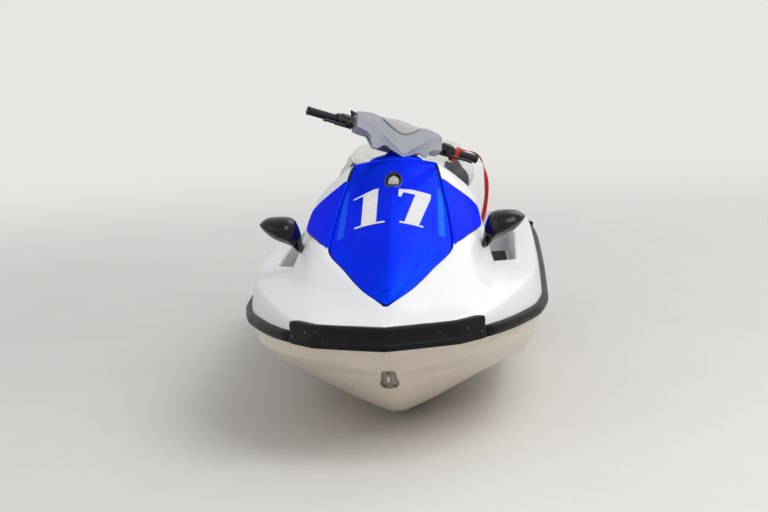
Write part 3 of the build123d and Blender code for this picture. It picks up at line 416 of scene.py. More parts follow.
class Finish:
    """A procedural material on a principled shader."""

    def __init__(self, name, **sockets):
        self.material = bpy.data.materials.new(name)
        self.material.use_nodes = True
        self.tree = self.material.node_tree
        self.shader = self.tree.nodes["Principled BSDF"]
        for key, setting in sockets.items():
            self.shader.inputs[key.replace("_", " ")].default_value = setting
        self.place = node(self.tree, "ShaderNodeTexCoord").outputs["Object"]
        self.normal = None

    def stretched(self, x, y, z):
        """The place with each axis scaled."""
        return node(self.tree, "ShaderNodeMapping", {"Vector": self.place, "Scale": (x, y, z)}).outputs[0]

    def noise(self, scale, detail=3, rough=0.5, place=None):
        """Cloudy noise between 0 and 1."""
        return node(self.tree, "ShaderNodeTexNoise", {"Vector": place or self.place, "Scale": scale,
                                                     "Detail": detail, "Roughness": rough}).outputs["Fac"]

    def cells(self, scale, feature="F1", output="Distance", place=None):
        """A pattern of cells."""
        return node(self.tree, "ShaderNodeTexVoronoi", {"Vector": place or self.place, "Scale": scale},
                    feature=feature).outputs[output]

    def fit(self, fac, low, high, to_low=0.0, to_high=1.0):
        """Spreads one range of values over another."""
        return node(self.tree, "ShaderNodeMapRange", {"Value": fac, "From Min": low, "From Max": high,
                                                     "To Min": to_low, "To Max": to_high}).outputs[0]

    def cloud(self, scale, detail, low, high, to_low=0.0, to_high=1.0, rough=0.5):
        """Noise between two of its levels, spread over a range of values."""
        return self.fit(self.noise(scale, detail, rough), low, high, to_low, to_high)

    def mix(self, fac, a, b):
        """A blend of two colours."""
        made = node(self.tree, "ShaderNodeMix", data_type="RGBA")
        for index, source in ((0, fac), (6, a), (7, b)):
            if isinstance(source, bpy.types.NodeSocket):
                self.tree.links.new(source, made.inputs[index])
            elif index:
                made.inputs[index].default_value = (*source, 1)
            else:
                made.inputs[index].default_value = source
        return made.outputs[2]

    def math(self, operation, a, b=0.0):
        """The result of an operation on one or two values."""
        return node(self.tree, "ShaderNodeMath", {0: a, 1: b}, operation=operation).outputs[0]

    def colour(self, source):
        """Sets the base colour."""
        self.tree.links.new(source, self.shader.inputs["Base Color"])

    def rough(self, source):
        """Sets the roughness."""
        self.tree.links.new(source, self.shader.inputs["Roughness"])

    def bump(self, height, distance, strength=1.0):
        """Adds a bump to those before it."""
        inputs = {"Height": height, "Distance": distance, "Strength": strength}
        if self.normal:
            inputs["Normal"] = self.normal
        self.normal = node(self.tree, "ShaderNodeBump", inputs).outputs[0]
        self.tree.links.new(self.normal, self.shader.inputs["Normal"])


def shaded(tint, share):
    """The tint, darker by a share."""
    return tuple(c * share for c in tint)


def gelcoat(name, tint, dirt, low_top):
    """Glossy gelcoat that grows darker and browner in spots towards the bottom, below a height, and is
    scuffed there.
    """
    f = Finish(name, Coat_Weight=0.15, Coat_Roughness=0.15, Specular_IOR_Level=0.3)
    clean = f.mix(f.cloud(2.2, 4, 0.1, 0.9), tint, shaded(tint, 0.955))
    height = node(f.tree, "ShaderNodeSeparateXYZ", {"Vector": f.place}).outputs[2]
    # Below the height the third tint is mixed in, more towards the bottom and in spots.
    low = f.fit(height, low_top, 0.0)
    spots = f.cloud(38, 6, 0.56, 0.72, rough=0.7)
    low_share = f.math("MULTIPLY", low, f.math("ADD", spots, 0.35))
    darkened = f.mix(f.math("MULTIPLY", low_share, 0.55), clean, dirt)
    scuffs = f.fit(f.noise(16, 6, 0.75, f.stretched(1, 1, 0.7)), 0.69, 0.72)
    below = f.fit(height, low_top, low_top - 0.08)
    f.colour(f.mix(f.math("MULTIPLY", scuffs, below), darkened, (0.03, 0.025, 0.02)))
    f.rough(f.cloud(5, 5, 0.1, 0.9, 0.24, 0.38))
    scratch = f.fit(f.noise(60, 2, 0.5, f.stretched(1, 0.05, 1.4)), 0.68, 0.7)
    f.bump(scratch, 0.00006, 0.3)
    f.bump(f.noise(240, 2), 0.00006, 0.4)
    return f.material


def paint(name, tint, light):
    """Metallic paint with flakes."""
    f = Finish(name, Coat_Weight=0.03, Coat_Roughness=0.08, Metallic=0.85, Specular_IOR_Level=0.05,
               Specular_Tint=(0.05, 0.2, 1, 1))
    flake = f.cells(900, output="Color")
    shade = node(f.tree, "ShaderNodeSeparateColor", {"Color": flake}).outputs[0]
    base = f.mix(f.cloud(3, 3, 0.2, 0.8), light, tint)
    bright = tuple(min(1, c * 1.4 + 0.01) for c in light)
    f.colour(f.mix(f.fit(shade, 0.8, 1.0, 0.0, 0.3), base, bright))
    f.rough(f.cloud(9, 4, 0.3, 0.7, 0.3, 0.4))
    f.bump(shade, 0.00003, 0.25)
    f.bump(f.noise(160, 2), 0.00004, 0.3)
    return f.material


def moulded(name, tint, rough, grain=700, depth=0.00008, wear=0.25, **sockets):
    """Grained plastic or rubber with paler rubbed places."""
    f = Finish(name, **sockets)
    shade = f.mix(f.cloud(4, 3, 0.3, 0.7), tint, shaded(tint, 0.8))
    rubbed = f.cloud(26, 6, 0.58, 0.75, 0.0, wear, rough=0.7)
    f.colour(f.mix(rubbed, shade, tuple(min(1, c + 0.16) for c in tint)))
    f.rough(f.cloud(30, 4, 0.3, 0.7, rough - 0.06, rough + 0.08))
    f.bump(f.cells(grain), depth, 0.6)
    f.bump(f.noise(60, 3), depth * 2, 0.3)
    return f.material


def lacquer(name, tint, worn):
    """Gloss black of the mirrors' shells."""
    f = Finish(name, Coat_Weight=0.15, Coat_Roughness=0.06, Specular_IOR_Level=0.2)
    f.colour(f.mix(f.cloud(40, 5, 0.6, 0.8, rough=0.7), tint, worn))
    f.rough(f.cloud(12, 4, 0.3, 0.7, 0.14, 0.22))
    f.bump(f.noise(120, 2), 0.00003, 0.3)
    return f.material


def metal(name, tint, rough, brushed=(1, 1, 30), cast=0.0):
    """Brushed metal, or cast metal with the depth of its grain."""
    f = Finish(name, Metallic=1.0, Specular_IOR_Level=0.5)
    lines = f.noise(90, 3, 0.6, f.stretched(*brushed))
    f.colour(f.mix(f.cloud(7, 5, 0.35, 0.75, rough=0.65), tint, shaded(tint, 0.72)))
    f.rough(f.fit(lines, 0.2, 0.8, rough - 0.08, rough + 0.12))
    f.bump(lines, 0.00003, 0.3)
    if cast:
        f.bump(f.noise(420, 3, 0.6), cast, 0.7)
    return f.material


def vinyl(name, tint, grain=520):
    """Grained and creased vinyl with some dirt."""
    f = Finish(name, Specular_IOR_Level=0.4, Sheen_Weight=0.12, Sheen_Roughness=0.5)
    f.colour(f.mix(f.cloud(9, 6, 0.45, 0.8, 0.0, 0.4, rough=0.7), tint, shaded(tint, 0.82)))
    f.rough(f.cloud(14, 4, 0.3, 0.7, 0.42, 0.56))
    f.bump(f.fit(f.cells(grain, "DISTANCE_TO_EDGE"), 0.0, 0.12), 0.00015, 0.6)
    f.bump(f.noise(28, 4), 0.0006, 0.25)
    return f.material


def webbing(name, tint):
    """Woven webbing."""
    f = Finish(name, Sheen_Weight=0.4, Sheen_Roughness=0.4)
    weave = f.cells(700, place=f.stretched(1, 1, 0.45))
    f.colour(f.mix(f.fit(weave, 0.2, 0.6), tint, shaded(tint, 0.55)))
    f.rough(f.cloud(80, 3, 0.3, 0.7, 0.62, 0.8))
    f.bump(weave, 0.0004, 0.8)
    return f.material


def speckled(name, tint):
    """Hard grey foam with darker specks."""
    f = Finish(name, Specular_IOR_Level=0.45)
    grit = f.cells(420, output="Color")
    shade = node(f.tree, "ShaderNodeSeparateColor", {"Color": grit}).outputs[0]
    base = f.mix(f.cloud(12, 4, 0.3, 0.7), tint, shaded(tint, 0.9))
    f.colour(f.mix(f.fit(shade, 0.55, 1.0, 0.0, 0.5), base, shaded(tint, 0.66)))
    f.rough(f.cloud(40, 3, 0.3, 0.7, 0.5, 0.66))
    f.bump(shade, 0.0002, 0.5)
    return f.material


DECK_WHITE = gelcoat("deck gelcoat", (0.80, 0.81, 0.83), (0.42, 0.36, 0.28), 0.3)
# The hull's tint is off-white gelcoat with painted shade and a painted warm reflection of sand, so it is
# darker and warmer than the deck's.
HULL_WHITE_PAINTED_SHADE = gelcoat("hull gelcoat", (0.76, 0.67, 0.56), (0.36, 0.26, 0.17), 0.42)
BLUE = paint("blue paint", (0.0006, 0.032, 0.8), (0.0012, 0.055, 0.92))
SKY = paint("light blue paint", (0.01, 0.08, 0.85), (0.03, 0.16, 0.98))
BUMPER = moulded("bumper rubber", (0.012, 0.012, 0.014), 0.42, 420, 0.0001, 0.22, Specular_IOR_Level=0.1)
RAIL = moulded("rail rubber", (0.01, 0.01, 0.011), 0.38, 600, 0.00006, 0.15, Specular_IOR_Level=0.07)
BLACK = moulded("black plastic", (0.012, 0.012, 0.013), 0.42, 800, 0.00006, 0.1, Specular_IOR_Level=0.3)
GLOSS = lacquer("gloss black", (0.005, 0.005, 0.006), (0.016, 0.016, 0.018))
STEEL = metal("stainless steel", (0.55, 0.55, 0.55), 0.24)
EYE_PLATE = metal("dull plate", (0.36, 0.31, 0.26), 0.36)
SCREW = metal("dull screw", (0.16, 0.16, 0.16), 0.4)
CAST = metal("cast alloy", (0.36, 0.37, 0.39), 0.42, cast=0.0002)
IRON = metal("engine iron", (0.09, 0.09, 0.1), 0.55, cast=0.0004)
POLISHED = metal("impeller steel", (0.6, 0.6, 0.6), 0.18, (1, 20, 1))
GREY = speckled("speckled cover", (0.36, 0.37, 0.41))
PAD = moulded("smooth pad", (0.43, 0.42, 0.41), 0.5, 900, 0.00005, 0.08)
GRIP = moulded("grip rubber", (0.009, 0.009, 0.01), 0.55, 500, 0.0001, 0.08, Specular_IOR_Level=0.3)
MAT = moulded("mat foam", (0.045, 0.045, 0.05), 0.8, 380, 0.0002, 0.2)
SEAT = vinyl("seat vinyl", (0.68, 0.67, 0.63))
SEAT_SIDE = vinyl("seat side vinyl", (0.06, 0.062, 0.068), 620)
PIPING = vinyl("piping vinyl", (0.74, 0.73, 0.7), 900)
RED = webbing("red webbing", (0.68, 0.012, 0.01))
DECAL = moulded("white decal", (0.82, 0.82, 0.83), 0.3, 900, 0.00002, 0.0, Specular_IOR_Level=0.25)
TEAL = moulded("teal button", (0.01, 0.2, 0.24), 0.35)
PALE = moulded("pale handle", (0.42, 0.42, 0.4), 0.4, 800, 0.00005, 0.1)
MIRROR = metal("mirror glass", (0.75, 0.77, 0.8), 0.1)


def dress(name, material):
    """Gives a node that the scene keeps as it is its material."""
    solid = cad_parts[name]
    for slot in solid.material_slots:
        slot.material = material
    if not solid.material_slots:
        solid.data.materials.append(material)


# Camera, floor and light
def make_camera():
    """The camera fitted to the photo. Its focal length is in pixels of the 768-pixel frame."""
    focal, frame_width, sensor = 2206.4, 768, 36
    place = (0.4205, -9.0372, 1.9602)
    yaw, pitch, roll = -0.0552, 0.1583, -0.0398
    ahead = Vector((math.sin(yaw) * math.cos(pitch), math.cos(yaw) * math.cos(pitch), -math.sin(pitch)))
    level = Vector((math.cos(yaw), -math.sin(yaw), 0))
    up = level.cross(ahead)
    right = level * math.cos(roll) + up * math.sin(roll)
    above = up * math.cos(roll) - level * math.sin(roll)
    camera = bpy.data.objects.new("camera", bpy.data.cameras.new("camera"))
    camera.data.sensor_width = sensor
    camera.data.lens = focal * sensor / frame_width
    camera.data.clip_end = 60
    rows = [(right[i], above[i], -ahead[i], place[i]) for i in range(3)]
    camera.matrix_world = Matrix((*rows, (0, 0, 0, 1)))
    SCENE.collection.objects.link(camera)
    SCENE.camera = camera


def plain_rays(tree):
    """Is 1 for the rays that see the background plain: from the camera, through glass and off gloss."""
    rays = node(tree, "ShaderNodeLightPath").outputs
    seen = rays["Is Camera Ray"]
    for kind in ("Is Transmission Ray", "Is Glossy Ray"):
        seen = node(tree, "ShaderNodeMath", {0: seen, 1: rays[kind]}, operation="MAXIMUM").outputs[0]
    return seen


def make_floor():
    """A pale floor, which those rays see plain further away."""
    floor = Finish("floor")
    floor.colour(floor.mix(floor.cloud(1.5, 3, 0.3, 0.7), (0.74, 0.73, 0.71), (0.72, 0.71, 0.69)))
    floor.rough(floor.cloud(3, 3, 0.3, 0.7, 0.75, 0.85))
    tree = floor.tree
    away = node(tree, "ShaderNodeVectorMath", {0: floor.place}, operation="LENGTH").outputs["Value"]
    far = node(tree, "ShaderNodeMapRange", {"Value": away, "From Min": 1.4, "From Max": 8.0},
               interpolation_type="SMOOTHSTEP").outputs[0]
    plain = floor.math("MULTIPLY", far, plain_rays(tree))
    pale = node(tree, "ShaderNodeEmission", {"Color": (0.80, 0.79, 0.77, 1)}).outputs[0]
    both = node(tree, "ShaderNodeMixShader", {0: plain, 1: floor.shader.outputs[0], 2: pale}).outputs[0]
    tree.links.new(both, tree.nodes["Material Output"].inputs["Surface"])
    mesh = loft([[(x, y, -0.001) for x in (-60, 60)] for y in (-60, 60)])
    mesh.materials.append(floor.material)
    ground = bpy.data.objects.new("floor", mesh)
    SCENE.collection.objects.link(ground)


def make_world():
    """A dim backdrop that grows paler upward, and that those rays see plain."""
    world = bpy.data.worlds.new("world")
    SCENE.world = world
    world.use_nodes = True
    tree = world.node_tree
    background = tree.nodes["Background"].inputs
    background["Color"].default_value = (1, 1, 1, 1)
    place = node(tree, "ShaderNodeTexCoord").outputs["Generated"]
    up = node(tree, "ShaderNodeSeparateXYZ", {"Vector": place}).outputs[2]
    fade = node(tree, "ShaderNodeMapRange", {"Value": up, "From Min": -0.1, "From Max": 0.9,
                                             "To Min": 0.26, "To Max": 0.5}).outputs[0]
    shown = node(tree, "ShaderNodeMix", {0: plain_rays(tree), 2: fade, 3: 0.8}, data_type="FLOAT")
    tree.links.new(shown.outputs[0], background["Strength"])


def make_lamps():
    """Three large soft lamps that face the craft."""
    for name, place, size, power in (("key", (3.4, -3.8, 5.4), 4.6, 255),
                                     ("fill", (-5.2, -3.6, 3.4), 5.0, 60),
                                     ("back", (2.9, 3.4, 5.0), 4.0, 95)):
        lamp = bpy.data.lights.new(name, "AREA")
        lamp.size = size
        lamp.energy = power
        obj = bpy.data.objects.new(name, lamp)
        obj.location = place
        obj.rotation_euler = (Vector((0, 0, 0.5)) - Vector(place)).to_track_quat("-Z", "Y").to_euler()
        SCENE.collection.objects.link(obj)


make_camera()
make_floor()
make_world()
make_lamps()
SCENE.view_settings.view_transform = "Standard"


# Deck and hull
WELL_FRONT = 1060
WELL_REAR = TRANSOM - 350
WELL_FLOOR = 335
WELL_RAMP = 130
WELL_RISE = 90
BIN = (440, 880)
GLOVEBOX = (1432, 1512)
DECK_WALL = 4
# The tunnel and its duct are cut from the hull, as in the part's source.
TUNNEL_FRONT = TRANSOM - 510
# Stations where the deck turns: hood's tip, bin, footwells, cowl, glovebox, seats and stern.
DECK_TURNS = (164, 168, 170, 172, 174, 178, 182, 190, 200, *BIN,
              *(WELL_FRONT + d for d in (-3, 0, 4, 8, 12)), 1233, 1234, 1235, 1236, 1238, *GLOVEBOX,
              1534, 1538, 1542, 1546, 1550, 1554, 1560, 1568, 1576, 1590,
              *(WELL_REAR + d for d in (-12, -8, -4, 0, 3)),
              *(AFT_DECK + d for d in (-22, -18, -14, -10, -6, -2)))


def well_floor(s):
    """The height of the footwell's floor, with a ramp at its front."""
    return WELL_FLOOR + WELL_RISE * max(0, WELL_FRONT + WELL_RAMP - s) / WELL_RAMP


def well_depth(s):
    """1 where the footwell is open to its floor, and 0 ahead and aft of it."""
    return ease(WELL_FRONT - 3, WELL_FRONT + 12, s) * (1 - ease(WELL_REAR - 12, WELL_REAR + 3, s))


def drop(s):
    """How far the hood's ledge lies below the lip."""
    return 32 * ease(165, 175, s) * (1 - ease(1233, 1237, s))


def relax(points, first, last, rounds, pull):
    """Evens out the points between two kept ones, so that creases among them turn soft."""
    for _ in range(rounds):
        points = [p if i <= first or i >= last or not pull else
                  p.lerp((points[i - 1] + points[i + 1]) / 2, pull)
                  for i, p in enumerate(points)]
    return points


def deck_half(s):
    """Half the deck's section, from the bond in to the middle."""
    bond, gunwale, coaming, channel, shoulder, lip = (
        line(rows, s) for rows in (BOND, GUNWALE, COAMING, CHANNEL, SHOULDER, LIP))
    depth, floor = well_depth(s), well_floor(s)
    flat = [coaming.lerp(channel, t) for t in (0.05, 0.16, 0.86)]
    deep = [Vector((coaming.x - 7, coaming.y - 4)), Vector((coaming.x - 16, floor)),
            Vector((channel.x - 12, floor))]
    wells = [a.lerp(b, depth) for a, b in zip(flat, deep)]
    half = soften([bond, gunwale, coaming, *wells, channel, shoulder, lip],
                  [0, 16, 12, 5, 16, 16, 14, 12, 3],
                  [0, 2, 0, 0, 0, 0, 5, 4], [4, 5, 2, 5, 5, 5, 7, 6])
    half = relax(half, 7, len(half) - 2, 60, 0.5 * (1 - ease(640, 1000, s)))
    ledge = Vector((lip.x - 0.5 if s > 126 else lip.x * 0.8, lip.y - drop(s)))
    inner = [Vector((x, ledge.y)) for x in (min(133, 0.8 * ledge.x), min(66, 0.4 * ledge.x), 0)]
    return half + [ledge] + inner


def make_deck():
    """The whole deck as one sheet, thickened inward, with a brim under the stern's platform."""
    places = steps(32, STERN, 15, *DECK_TURNS)
    rings = []
    for s in places:
        half = deck_half(s)
        rings.append([spot(x, s, z) for x, z in half + [(-p.x, p.y) for p in reversed(half[:-1])]])
    end, floor = rings[-1], value(BOND, 2, STERN)
    rings.append([Vector((p.x, p.y, (floor + 1) / 1000)) for p in end])
    rings.append([spot(p.x * 1000, STERN - 3, floor) for p in end])
    rings.append([spot(p.x * 1000, TRANSOM - 3, floor + 1) for p in end])
    middle = len(end) // 2

    def skip(i, j):
        """Leaves the deck open over the storage bin and the glovebox."""
        if i + 1 >= len(places):
            return False
        s = (places[i] + places[i + 1]) / 2
        wide = 2 if BIN[0] < s < BIN[1] else 1 if GLOVEBOX[0] < s < GLOVEBOX[1] else 0
        return middle - wide <= j < middle + wide

    mesh = tidy(loft(rings, skip=skip), outward=False)
    piece("deck", mesh, "root", DECK_WHITE, ("foredeck", "side_decks", "aft_deck"),
          solid=DECK_WALL, angle=40)


def outer_x(s, z):
    """How far out the hull lies at a height between the chine and the bond."""
    a, b, c = line(CHINE, s), line(KNUCKLE, s), line(BOND, s)
    if z < b.y:
        return a.x + (b.x - a.x) * (z - a.y) / max(1, b.y - a.y)
    return b.x + (c.x - b.x) * (z - b.y) / max(1, c.y - b.y)


def hull_half(s):
    """Half the hull's section, from the keel out to the bond and, inside the brim, to the floor."""
    keel, bilge, chine, knuckle, bond = (line(rows, s) for rows in (KEEL, BILGE, CHINE, KNUCKLE, BOND))
    dip = ease(385, 430, s)
    low = bond.y - 1 - dip * (bond.y - (338 if s < 950 else 318))
    wall = max(bond.x * 0.4, outer_x(s, low) - 22) if dip > 0 else bond.x * 0.9
    brim = Vector((max(wall, bond.x - 14 if dip else bond.x * 0.95), bond.y - 1))
    tread = chine + Vector((-min(14, chine.x * 0.1), -2))
    corners = [Vector((0, keel.y)), keel, bilge, tread, chine, knuckle, bond, brim,
               Vector((min(wall, brim.x), low)), Vector((0, low))]
    return soften(corners, [0, 12, 26, 3, 4, 18, 1, 0, 0, 0], [0, 3, 2, 0, 2, 0, 0, 0, 0],
                  [2, 6, 6, 1, 5, 4, 1, 1, 1])


def make_hull():
    """The hull's shell, with the pump's tunnel and the intake duct cut out of it."""
    rings = [ring_at(s, hull_half(s)) for s in steps(32, TRANSOM, 18, 385, 400, 415, 430, 440)]
    tunnel_x, duct_x = 0.125, 75
    tunnel = cutter(box((-tunnel_x, at(TUNNEL_FRONT), -0.02), (tunnel_x, at(TRANSOM + 30), 0.3)))
    outline = [(-480, -5), (-60, -5), (2, 52.5), (2, 207.5), (-120, 197.5), (-450, 25)]
    duct = cutter(closed([[spot(x, TUNNEL_FRONT + d, z) for d, z in outline] for x in (-duct_x, duct_x)]))
    hull = piece("hull_shell", tidy(closed(rings), 1e-5), "root", HULL_WHITE_PAINTED_SHADE, ("hull",),
                 cut=(tunnel, duct), angle=28)
    scrap(tunnel, duct)
    points = hull.data.vertices
    for edge in hull.data.edges:
        middle = sum((points[v].co for v in edge.vertices), Vector()) / 2
        if abs(middle.x) < 0.035 and middle.y < at(225):
            edge.use_edge_sharp = False
    return hull


def make_rail():
    """The gunwale's rail, which swells from half its section behind the bumper."""
    profile = [Vector(p) for p in ((-4, -22), (12, -21), (21, -17), (25, -6), (25, 1), (22.5, 3), (25, 5),
                                   (22, 13), (16, 19), (8, 22), (-4, 22))]
    shape = soften(profile, [0, 3, 5, 4, 1, 0.8, 1, 5, 4, 3, 0])
    start, full = 226, 250
    rings = []
    for s in steps(start, QUARTER, 20):
        bond = line(BOND, s)
        size = 0.5 + 0.5 * ease(start, full, s)
        rings.append([spot(bond.x + p.x * size, s, bond.y - 5 + p.y) for p in shape])
    piece("gunwale_rail_trim", tidy(mirrored(closed(rings))), "root", RAIL, ("gunwale_rail",),
          angle=50)


def make_bumper():
    """The bow's bumper: its section, as depth and height, swept along a path of x and s."""
    corners = [Vector(p) for p in ((-350, 205), (-262, 105), (0, 0), (262, 105), (350, 205))]
    path = soften(corners, [0, 9, 8, 9, 0], [0, 3, 3, 0], [5, 12, 12, 5])
    section = [Vector(p) for p in ((34, 514), (8, 515), (3.5, 506), (5.5, 484), (3, 462), (0, 457),
                                   (0, 444), (4, 439), (34, 440))]
    shape = soften(section, [0, 5, 5, 8, 3, 3, 3, 2, 0])
    middle = 471
    rings = []
    for i, p in enumerate(path):
        along = heading(path, i)
        inward = Vector((-along.y, along.x))
        scale = 1.1 if 0 < i < len(path) - 1 else 1.04
        rings.append([spot(p.x + inward.x * q.x, p.y + inward.y * q.x, middle + (q.y - middle) * scale)
                      for q in shape])
    piece("bow_bumper_trim", tidy(closed(rings)), "root", BUMPER, ("bow_bumper",), angle=28,
          bevel=1.2)
    heads = []
    for side in (-1, 1):
        out = Vector((side * 100, -88, 0)).normalized()
        for x, s, z in ((333, 188, 466), (284, 133, 488)):
            heads.append(screw(spot(side * x, s, z) + out * 0.001, out, 0.0042))
    piece("bumper_screws", merged(*heads), "root", SCREW, angle=30)


def screw(centre, out, radius):
    """A domed screw head with a hollow in its middle."""
    turn = out.to_track_quat("Z", "Y").to_matrix().to_4x4()
    rows = ((1.0, -0.6), (1.0, 0.1), (0.86, 0.36), (0.55, 0.5), (0.3, 0.52), (0.24, 0.2), (0.02, 0.18))
    rings = [[Vector((r * radius * math.cos(a), r * radius * math.sin(a), z * radius)) for a in angles(20)]
             for r, z in rows]
    return moved(closed(rings), Matrix.Translation(centre) @ turn)


def make_eye_plate(hull):
    """The bow eye's plate on the stem, with its screws."""
    def on_stem(x, z, out):
        """A place on the hull's stem, raised off it."""
        start = Vector((x / 1000, -2, z / 1000))
        _, place, normal, _ = hull.ray_cast(start, Vector((0, 1, 0)))
        return place + normal * (out / 1000)

    port = [(17, 338), (25, 332), (27, 318), (27, 300), (33, 284), (34, 272), (28, 261), (14, 256)]
    outline = [(-17, 338), *port, *((-x, z) for x, z in reversed(port[1:]))]
    outline = smooth_ring([Vector(p) for p in outline], 64)
    centre = Vector((0, 298))
    steps_in = ((1.02, -1.5), (1.02, 1.2), (0.97, 2.4), (0.86, 2.4), (0.84, 1.0), (0.6, 1.0), (0.3, 1.0),
                (0.06, 1.0))
    rings = [[on_stem(*centre.lerp(p, share), out) for p in outline] for share, out in steps_in]
    plate = tidy(loft(rings, wrap=True, caps=(False, True)))
    piece("bow_eye_plate", plate, "root", EYE_PLATE, angle=40)
    heads = [screw(on_stem(x, z, 1.6), Vector((x * 0.02, -1, -0.35)).normalized(), r)
             for x, z, r in ((-17, 271, 0.008), (17, 271, 0.008), (0, 331, 0.0045))]
    piece("bow_eye_screws", merged(*heads), "root", SCREW, angle=30)


make_deck()
HULL = make_hull()
make_rail()
make_bumper()
make_eye_plate(HULL)


# Hood and side panels
HOOD_FRONT, HOOD_REAR = 184, 1228
HOOD_THICKNESS = 14
LIP_GAP = 10
LATCH_S = 1052
# A plain number's figures, as outlines of x and s, and the strips beside it, as s and the shares of
# the hood's half-width at their edges.
ONE = [(-136, 728), (-136, 716), (-22, 700), (-22, 712), (-55, 717), (-55, 990), (-112, 966),
       (-150, 955), (-150, 947), (-112, 952), (-112, 725)]
SEVEN = [(34, 700), (122, 700), (122, 712), (106, 712), (146, 940), (146, 970), (24, 970), (24, 900),
         (34, 900), (42, 938), (88, 938), (52, 712), (34, 712)]
STRIPS = [(700, 0.79, 0.9), (760, 0.8, 0.91), (820, 0.81, 0.92), (880, 0.83, 0.935),
          (940, 0.855, 0.95), (1000, 0.88, 0.96), (1040, 0.9, 0.965)]


def hood_edge(s):
    """The hood's half-width, a gap inside the lip."""
    return value(LIP, 1, s) - LIP_GAP


def hood_z(x, s):
    """The height of the hood's top, evened out over a few places."""
    def plain(x, s):
        """From the ridge down to the crease and, sagging, on to the edge, with a hollow at the rear."""
        edge, share = hood_edge(s), value(CREASE, 1, s)
        low, top = value(LIP, 2, s), value(RIDGE, 2, s) - 5 * (1 - ease(184, 230, s))
        lift = min(0.6, 1.45 * (1 - share))
        u = abs(x) / edge
        if u < share:
            t = u / share
            z = top + (low + lift * (top - low) - top) * t + 5 * 4 * t * (1 - t)
        else:
            t = (u - share) / (1 - share)
            sag = 15 * min(1, (1 - share) * edge / 50)
            z = low + (top - low) * lift * (1 - t) - sag * t ** 0.5 * (1 - min(1, t))
        start = 899 + 0.58 * abs(x) + 0.00766 * x * x
        if start < s < HOOD_REAR:
            q = (s - start) / (HOOD_REAR - start)
            z -= 8 * math.sin(math.pi * q) * (1 - 0.35 * q)
        return z

    near = 2
    return (2 * plain(x, s) + plain(x - near, s) + plain(x + near, s) + plain(x, s - near)
            + plain(x, s + near)) / 6


def latch_outline(grow, count=64):
    """The latch recess, round at its upper end and square at its lower one, as x and s."""
    out = []
    for a in angles(count):
        c, d = squared(a, 0.62) if math.sin(a) < 0 else (math.cos(a), math.sin(a))
        out.append(((33.7 + grow) * c, LATCH_S + (66 + grow) * d))
    return out


def make_hood():
    """The hood, with its ridge, creases and rolled edge, and the hole for the latch."""
    rings = []
    for s in steps(HOOD_FRONT, HOOD_REAR, 9, 186, 189, 1222, 1226):
        edge = hood_edge(s) - 4 * (1 - ease(190, 260, s))
        fold = value(CREASE, 1, s) * edge
        marks = [0, 1.5, 5] + [5 + (fold - 11) * k / 7 for k in range(1, 7)]
        marks += [fold + d for d in (-5, -1.5, 1.5, 6)]
        marks += [fold + 6 + (edge - 4 - fold - 6) * k / 4 for k in range(1, 5)]
        marks = [min(m, edge - 4) for m in marks]
        fall = 3 if s in (HOOD_REAR, HOOD_FRONT) else 0
        top = [(x, hood_z(x, s) - fall) for x in marks]
        rim = hood_z(edge, s) - fall
        side = [(edge - 1.2, rim - 0.6), (edge, rim - 3), (edge, rim - 10), (edge - 4, rim - HOOD_THICKNESS)]
        under = [(x, max(hood_z(x, s), rim) - HOOD_THICKNESS) for x in reversed(marks)]
        rings.append(ring_at(s, top + side + under))
    hole = cutter(closed([[spot(x, s, z) for x, s in latch_outline(-1.5)] for z in (750, 1050)]))
    piece("hood_panel", tidy(closed(rings), 2e-5), "hood", BLUE, ("hood",), cut=(hole,),
          angle=24)
    scrap(hole)


def drape(outlines, lift, cell=9):
    """Flat outlines of x and s laid on the hood, cut into cells so that they follow it."""
    work = bmesh.new()
    for outline in outlines:
        work.faces.new([work.verts.new((x, s, 0)) for x, s in outline])
    work.normal_update()
    bmesh.ops.triangulate(work, faces=work.faces)
    for axis, normal in enumerate((Vector((1, 0, 0)), Vector((0, 1, 0)))):
        spread = [v.co[axis] for v in work.verts]
        for k in range(math.floor(min(spread) / cell), math.ceil(max(spread) / cell) + 1):
            geometry = work.verts[:] + work.edges[:] + work.faces[:]
            bmesh.ops.bisect_plane(work, geom=geometry, dist=1e-4, plane_co=normal * (k * cell + 0.13),
                                   plane_no=normal)
    for v in work.verts:
        v.co = spot(v.co.x, v.co.y, hood_z(v.co.x, v.co.y) + lift)
    bmesh.ops.recalc_face_normals(work, faces=work.faces)
    for face in work.faces:
        if face.normal.z < 0:
            face.normal_flip()
    mesh = bpy.data.meshes.new("drape")
    work.to_mesh(mesh)
    work.free()
    return mesh


def make_marks():
    """The number, the strips beside it and the bare disc at the hood's tip."""
    piece("hood_numerals", drape([ONE, SEVEN], 0.9), "hood", DECAL, solid=0.5, angle=40)
    strips = []
    for side in (-1, 1):
        rows = [(s, side * hood_edge(s) * a, side * hood_edge(s) * b) for s, a, b in STRIPS]
        for (s, a, b), (t, c, d) in zip(rows, rows[1:]):
            strips.append([(a, s), (b, s), (d, t), (c, t)])
    piece("hood_strips", drape(strips, 0.7), "hood", SKY, solid=0.4, angle=40)
    radius, middle = 24, 268
    disc = [(radius * math.cos(a), middle + radius * math.sin(a)) for a in angles(40)]
    piece("hood_disc", drape([disc], 2.4), "hood", BLUE, solid=1.8, angle=40, bevel=0.7)


def latch_rings(rows):
    """Rings round the recess, by how far they lie outside it and above the hood."""
    return [[spot(x, s, hood_z(x, s) + lift) for x, s in latch_outline(grow)] for grow, lift in rows]


